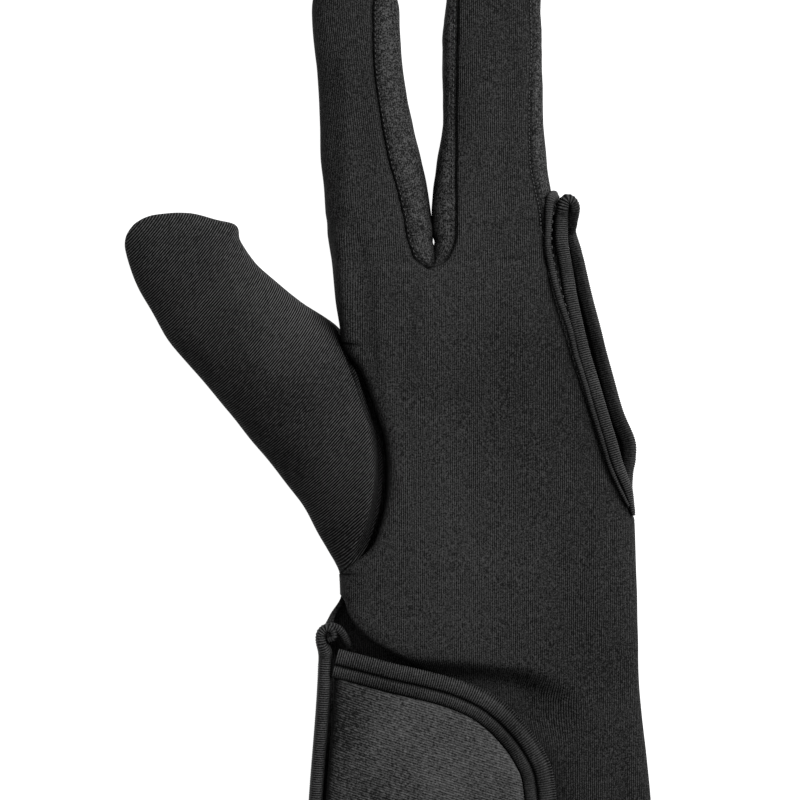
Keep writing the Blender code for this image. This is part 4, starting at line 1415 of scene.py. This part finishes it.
def stitchLine(pairs, spacing, lift=None):
    # stitches at equal distances along (outer, inner) places
    middles = [outer for outer, inner in pairs]
    ups = [(outer - inner).normalized() for outer, inner in pairs]
    marks, total = evenMarks(middles, spacing)
    shells = []
    for mark in marks[1:-1]:
        k = min(int(mark), len(pairs) - 2)
        up = ups[k].lerp(ups[k + 1], mark - k).normalized()
        here = alongCurve(middles, mark)
        ahead = (alongCurve(middles, mark + 0.02) - here).normalized()
        shells.append(stitchShell(here + up * (stitch["lift"] if lift is None else lift), ahead, up))
    return shells


def fingerSeamLine(one, column, away):
    # places beside a finger's front seam, this far from it across the cloth
    pairs = []
    for up in even(0.03, 0.93, 40):
        section = fingerSection(one, up)
        angle = slide(section, fingerSpan(one, up)[column], away)
        pairs.append((skin(section, angle), skin(fingerSection(one, up, hand["wall"]), angle)))
    return pairs


def seamStitches():
    shells = stitchLine(fingerSeamLine(middle, 1, 0.55), 1.15, -0.22)
    shells += stitchLine(fingerSeamLine(middle, 0, 0.55), 1.5, -0.35)
    shells += stitchLine(fingerSeamLine(index, 1, -0.60), 1.5, -0.45)
    groove = []
    for row, beside in zip(cordRows[4:14], frontTapeRows[11:1:-1]):
        groove.append(skinPair(row.x + row.width / 2 + 0.25, row.y))
    shells += stitchLine(groove, 2.4, 0.80)
    tapePiece("seamStitches", shells, None, "thread")


seamStitches()

hem = dict(tape=5.0, up=2.5)


def hemBinding():
    up = hem["up"] / hand["bodyLength"]
    frontLeft = frontSpan(up)[0]
    backLeft = backSpan(up)[0]
    path = []
    for angle in even(frontLeft, 0, 26) + even(0, backLeft - 360, 26)[1:]:
        outer, inner = skin(bodySection(up), angle), skin(bodySection(up, hand["wall"]), angle)
        path.append(Stop((outer + inner) / 2, (outer - inner).normalized(), hem["tape"], tapes["thickness"]))
    tapePiece("hemTape", [sweep(path, tapeSection())], "hem_binding")


# The strap, its two-banded tape and the ridge that it is sewn to

StrapRow = namedtuple("StrapRow", "up reach")
strapTable = (
    StrapRow(0.00, 0.86),
    StrapRow(0.05, 0.93),
    StrapRow(0.13, 0.98),
    StrapRow(0.26, 1.00),
    StrapRow(0.42, 0.985),
    StrapRow(0.53, 0.94),
    StrapRow(0.65, 0.86),
    StrapRow(0.77, 0.735),
    StrapRow(0.85, 0.57),
    StrapRow(0.93, 0.28),
    StrapRow(1.00, 0.05),
)
strap = dict(
    curvesOf(strapTable),
    low=0.056,
    high=0.336,
    anchor=-0.521,
    width=53.5,
    stand=2.0,
    wall=2.0,
    tape=7.8,
    gap=0.25,
    columns=64,
    rows=64,
    start=2.0,
    loop=1.0,
    room=1.8,  # between the ridge and the strap's cloth
)


def strapPair(x, y, lift=0.0):
    section = bodySection(y / hand["bodyLength"], -strap["stand"] - strap["wall"] - lift)
    inside = bodySection(y / hand["bodyLength"], -strap["stand"] - lift)
    return skin(section, angleAt(section, x)), skin(inside, angleAt(inside, x))


def strapBorder(share):
    y = (strap["low"] + (strap["high"] - strap["low"]) * share) * hand["bodyLength"]
    left = ridgePlace(y / hand["bodyLength"]).x + ridge["width"] / 2 + strap["room"]
    right = strap["anchor"] * hand["palmWidth"] + strap["reach"](share) * strap["width"]
    return y, left, max(right, left + 1.0)


def strapShares(count):
    # closer together towards the upper corner
    return [1 - (1 - k / count) ** 1.5 for k in range(count + 1)]


def strapCloth():
    rows = []
    for share in strapShares(strap["rows"]):
        y, left, right = strapBorder(share)
        row = []
        for x in even(left, right, strap["columns"]):
            outer, inner = strapPair(x, y)
            swell = grain(x / 16, y / 20, 41.0) * 0.35 + grain(x / 5, y / 8, 42.0) * 0.06
            swell -= 0.45 * math.exp(-(right - x) / 1.6) + 1.9 * math.exp(-(x - left) / 1.1)
            row.append((outer + Vector((0, 0, swell)), inner + Vector((0, 0, swell * 0.5)), x - left, y))
        rows.append(row)
    clothPiece("strapCloth", [rows], "brushed", "strap")


def strapBinding():
    border = [Vector((strapBorder(share)[2], strapBorder(share)[0], 0)) for share in even(0, 1, 26)][::-1]
    y, left, right = strapBorder(0)
    border += [Vector((x, y, 0)) for x in even(right, left + strap["start"], 8)[1:]]
    offset = strap["gap"] + strap["tape"] / 2
    centres = []
    for k, here in enumerate(border):
        ahead = border[min(k + 1, len(border) - 1)] - border[max(k - 1, 0)]
        out = Vector((-ahead.y, ahead.x, 0)).normalized()
        centres.append(here + out * offset)
    ridgeSide = ridgePlace(centres[0].y / hand["bodyLength"]).x + ridge["width"] / 2 + strap["room"]
    centres = [centres[1] + (centres[1] - centres[3]).normalized() * (centres[1].x - ridgeSide)] + centres[1:]
    path = []
    for place in centres:
        outer, inner = strapPair(place.x, place.y)
        path.append(Stop((outer + inner) / 2, (outer - inner).normalized(), strap["tape"], tapes["thickness"]))
    shape = tapeSection([(0.12, 0.10, 1.0), (0.12, 0.30, 0.25), (-0.95, 0.25, 0.15)], top=36)

    def loops(share, a):
        # small loops stand out along the outer edge where the strap curves
        return strap["loop"] * hill(a, -1.0, 0.05) * ease((share - 0.20) / 0.12)

    tapePiece("strapTape", [sweep(path, shape, None, 0.9, loops)], "strap_binding")


CurlRow = namedtuple("CurlRow", "x y lower width thick")
ridgeKnob = (  # the ridge's tape curls in at its top
    CurlRow(-43.7, 66.6, 0.0, 2.9, 4.4),
    CurlRow(-43.8, 69.0, 0.0, 2.6, 4.0),
    CurlRow(-42.4, 70.5, 0.1, 2.4, 3.6),
    CurlRow(-40.8, 69.9, 0.3, 2.2, 3.2),
    CurlRow(-40.6, 68.2, 0.5, 2.0, 2.8),
    CurlRow(-42.0, 67.4, 0.6, 1.7, 2.4),
)
ridgeTail = (  # the strap tape's own end comes over the knob and goes down into the hollow
    CurlRow(-42.8, 70.3, 1.3, 1.5, 1.6),
    CurlRow(-41.1, 71.0, 0.9, 2.0, 1.7),
    CurlRow(-39.0, 70.2, 1.1, 2.2, 1.7),
    CurlRow(-37.4, 68.0, 2.0, 2.0, 1.7),
    CurlRow(-36.6, 65.6, 3.6, 1.7, 1.6),
)


def strapRidge():
    path = []
    for up in even(hemUp, 63.5 / hand["bodyLength"], 14):
        place = ridgePlace(up) + Vector((ridge["shift"], 0, 0))
        path.append(Stop(place, Vector((0, 0, 1)), ridge["width"], ridge["height"]))
    top = path[-1].place.z + ridge["height"] / 2
    for row in ridgeKnob:
        place = Vector((row.x, row.y, top - row.lower - row.thick / 2))
        path.append(Stop(place, Vector((0, 0, 1)), row.width, row.thick))
    tail = []
    for row in ridgeTail:
        place = Vector((row.x, row.y, top - row.lower - row.thick / 2))
        tail.append(Stop(place, Vector((0, 0, 1)), row.width, row.thick))
    plain = tapeSection(top=16)
    tapePiece("strapRidge", [sweep(path, plain, None, 0.5), sweep(tail, plain)], "strap_joint_binding")


hook = dict(left=-0.17, right=0.07, low=0.09, high=0.22, gap=0.3)


def hookPatch():
    rows = []
    for up in even(hook["low"], hook["high"], 16):
        row = []
        for x in even(hook["left"] * hand["palmWidth"], hook["right"] * hand["palmWidth"], 14):
            y = up * hand["bodyLength"]
            top = bodySection(up, hook["gap"] - strap["stand"])
            low = bodySection(up, -hook["gap"])
            row.append((skin(top, angleAt(top, x)), skin(low, angleAt(low, x)), x, y))
        rows.append(row)
    clothPiece("hookPatch", [rows], "hook", "hook_patch")


openingBinding()
hemBinding()
strapCloth()
strapBinding()
strapRidge()
hookPatch()
print("tape and strap made:", glove["triangles"], "triangles in", glove["pieces"], "pieces")
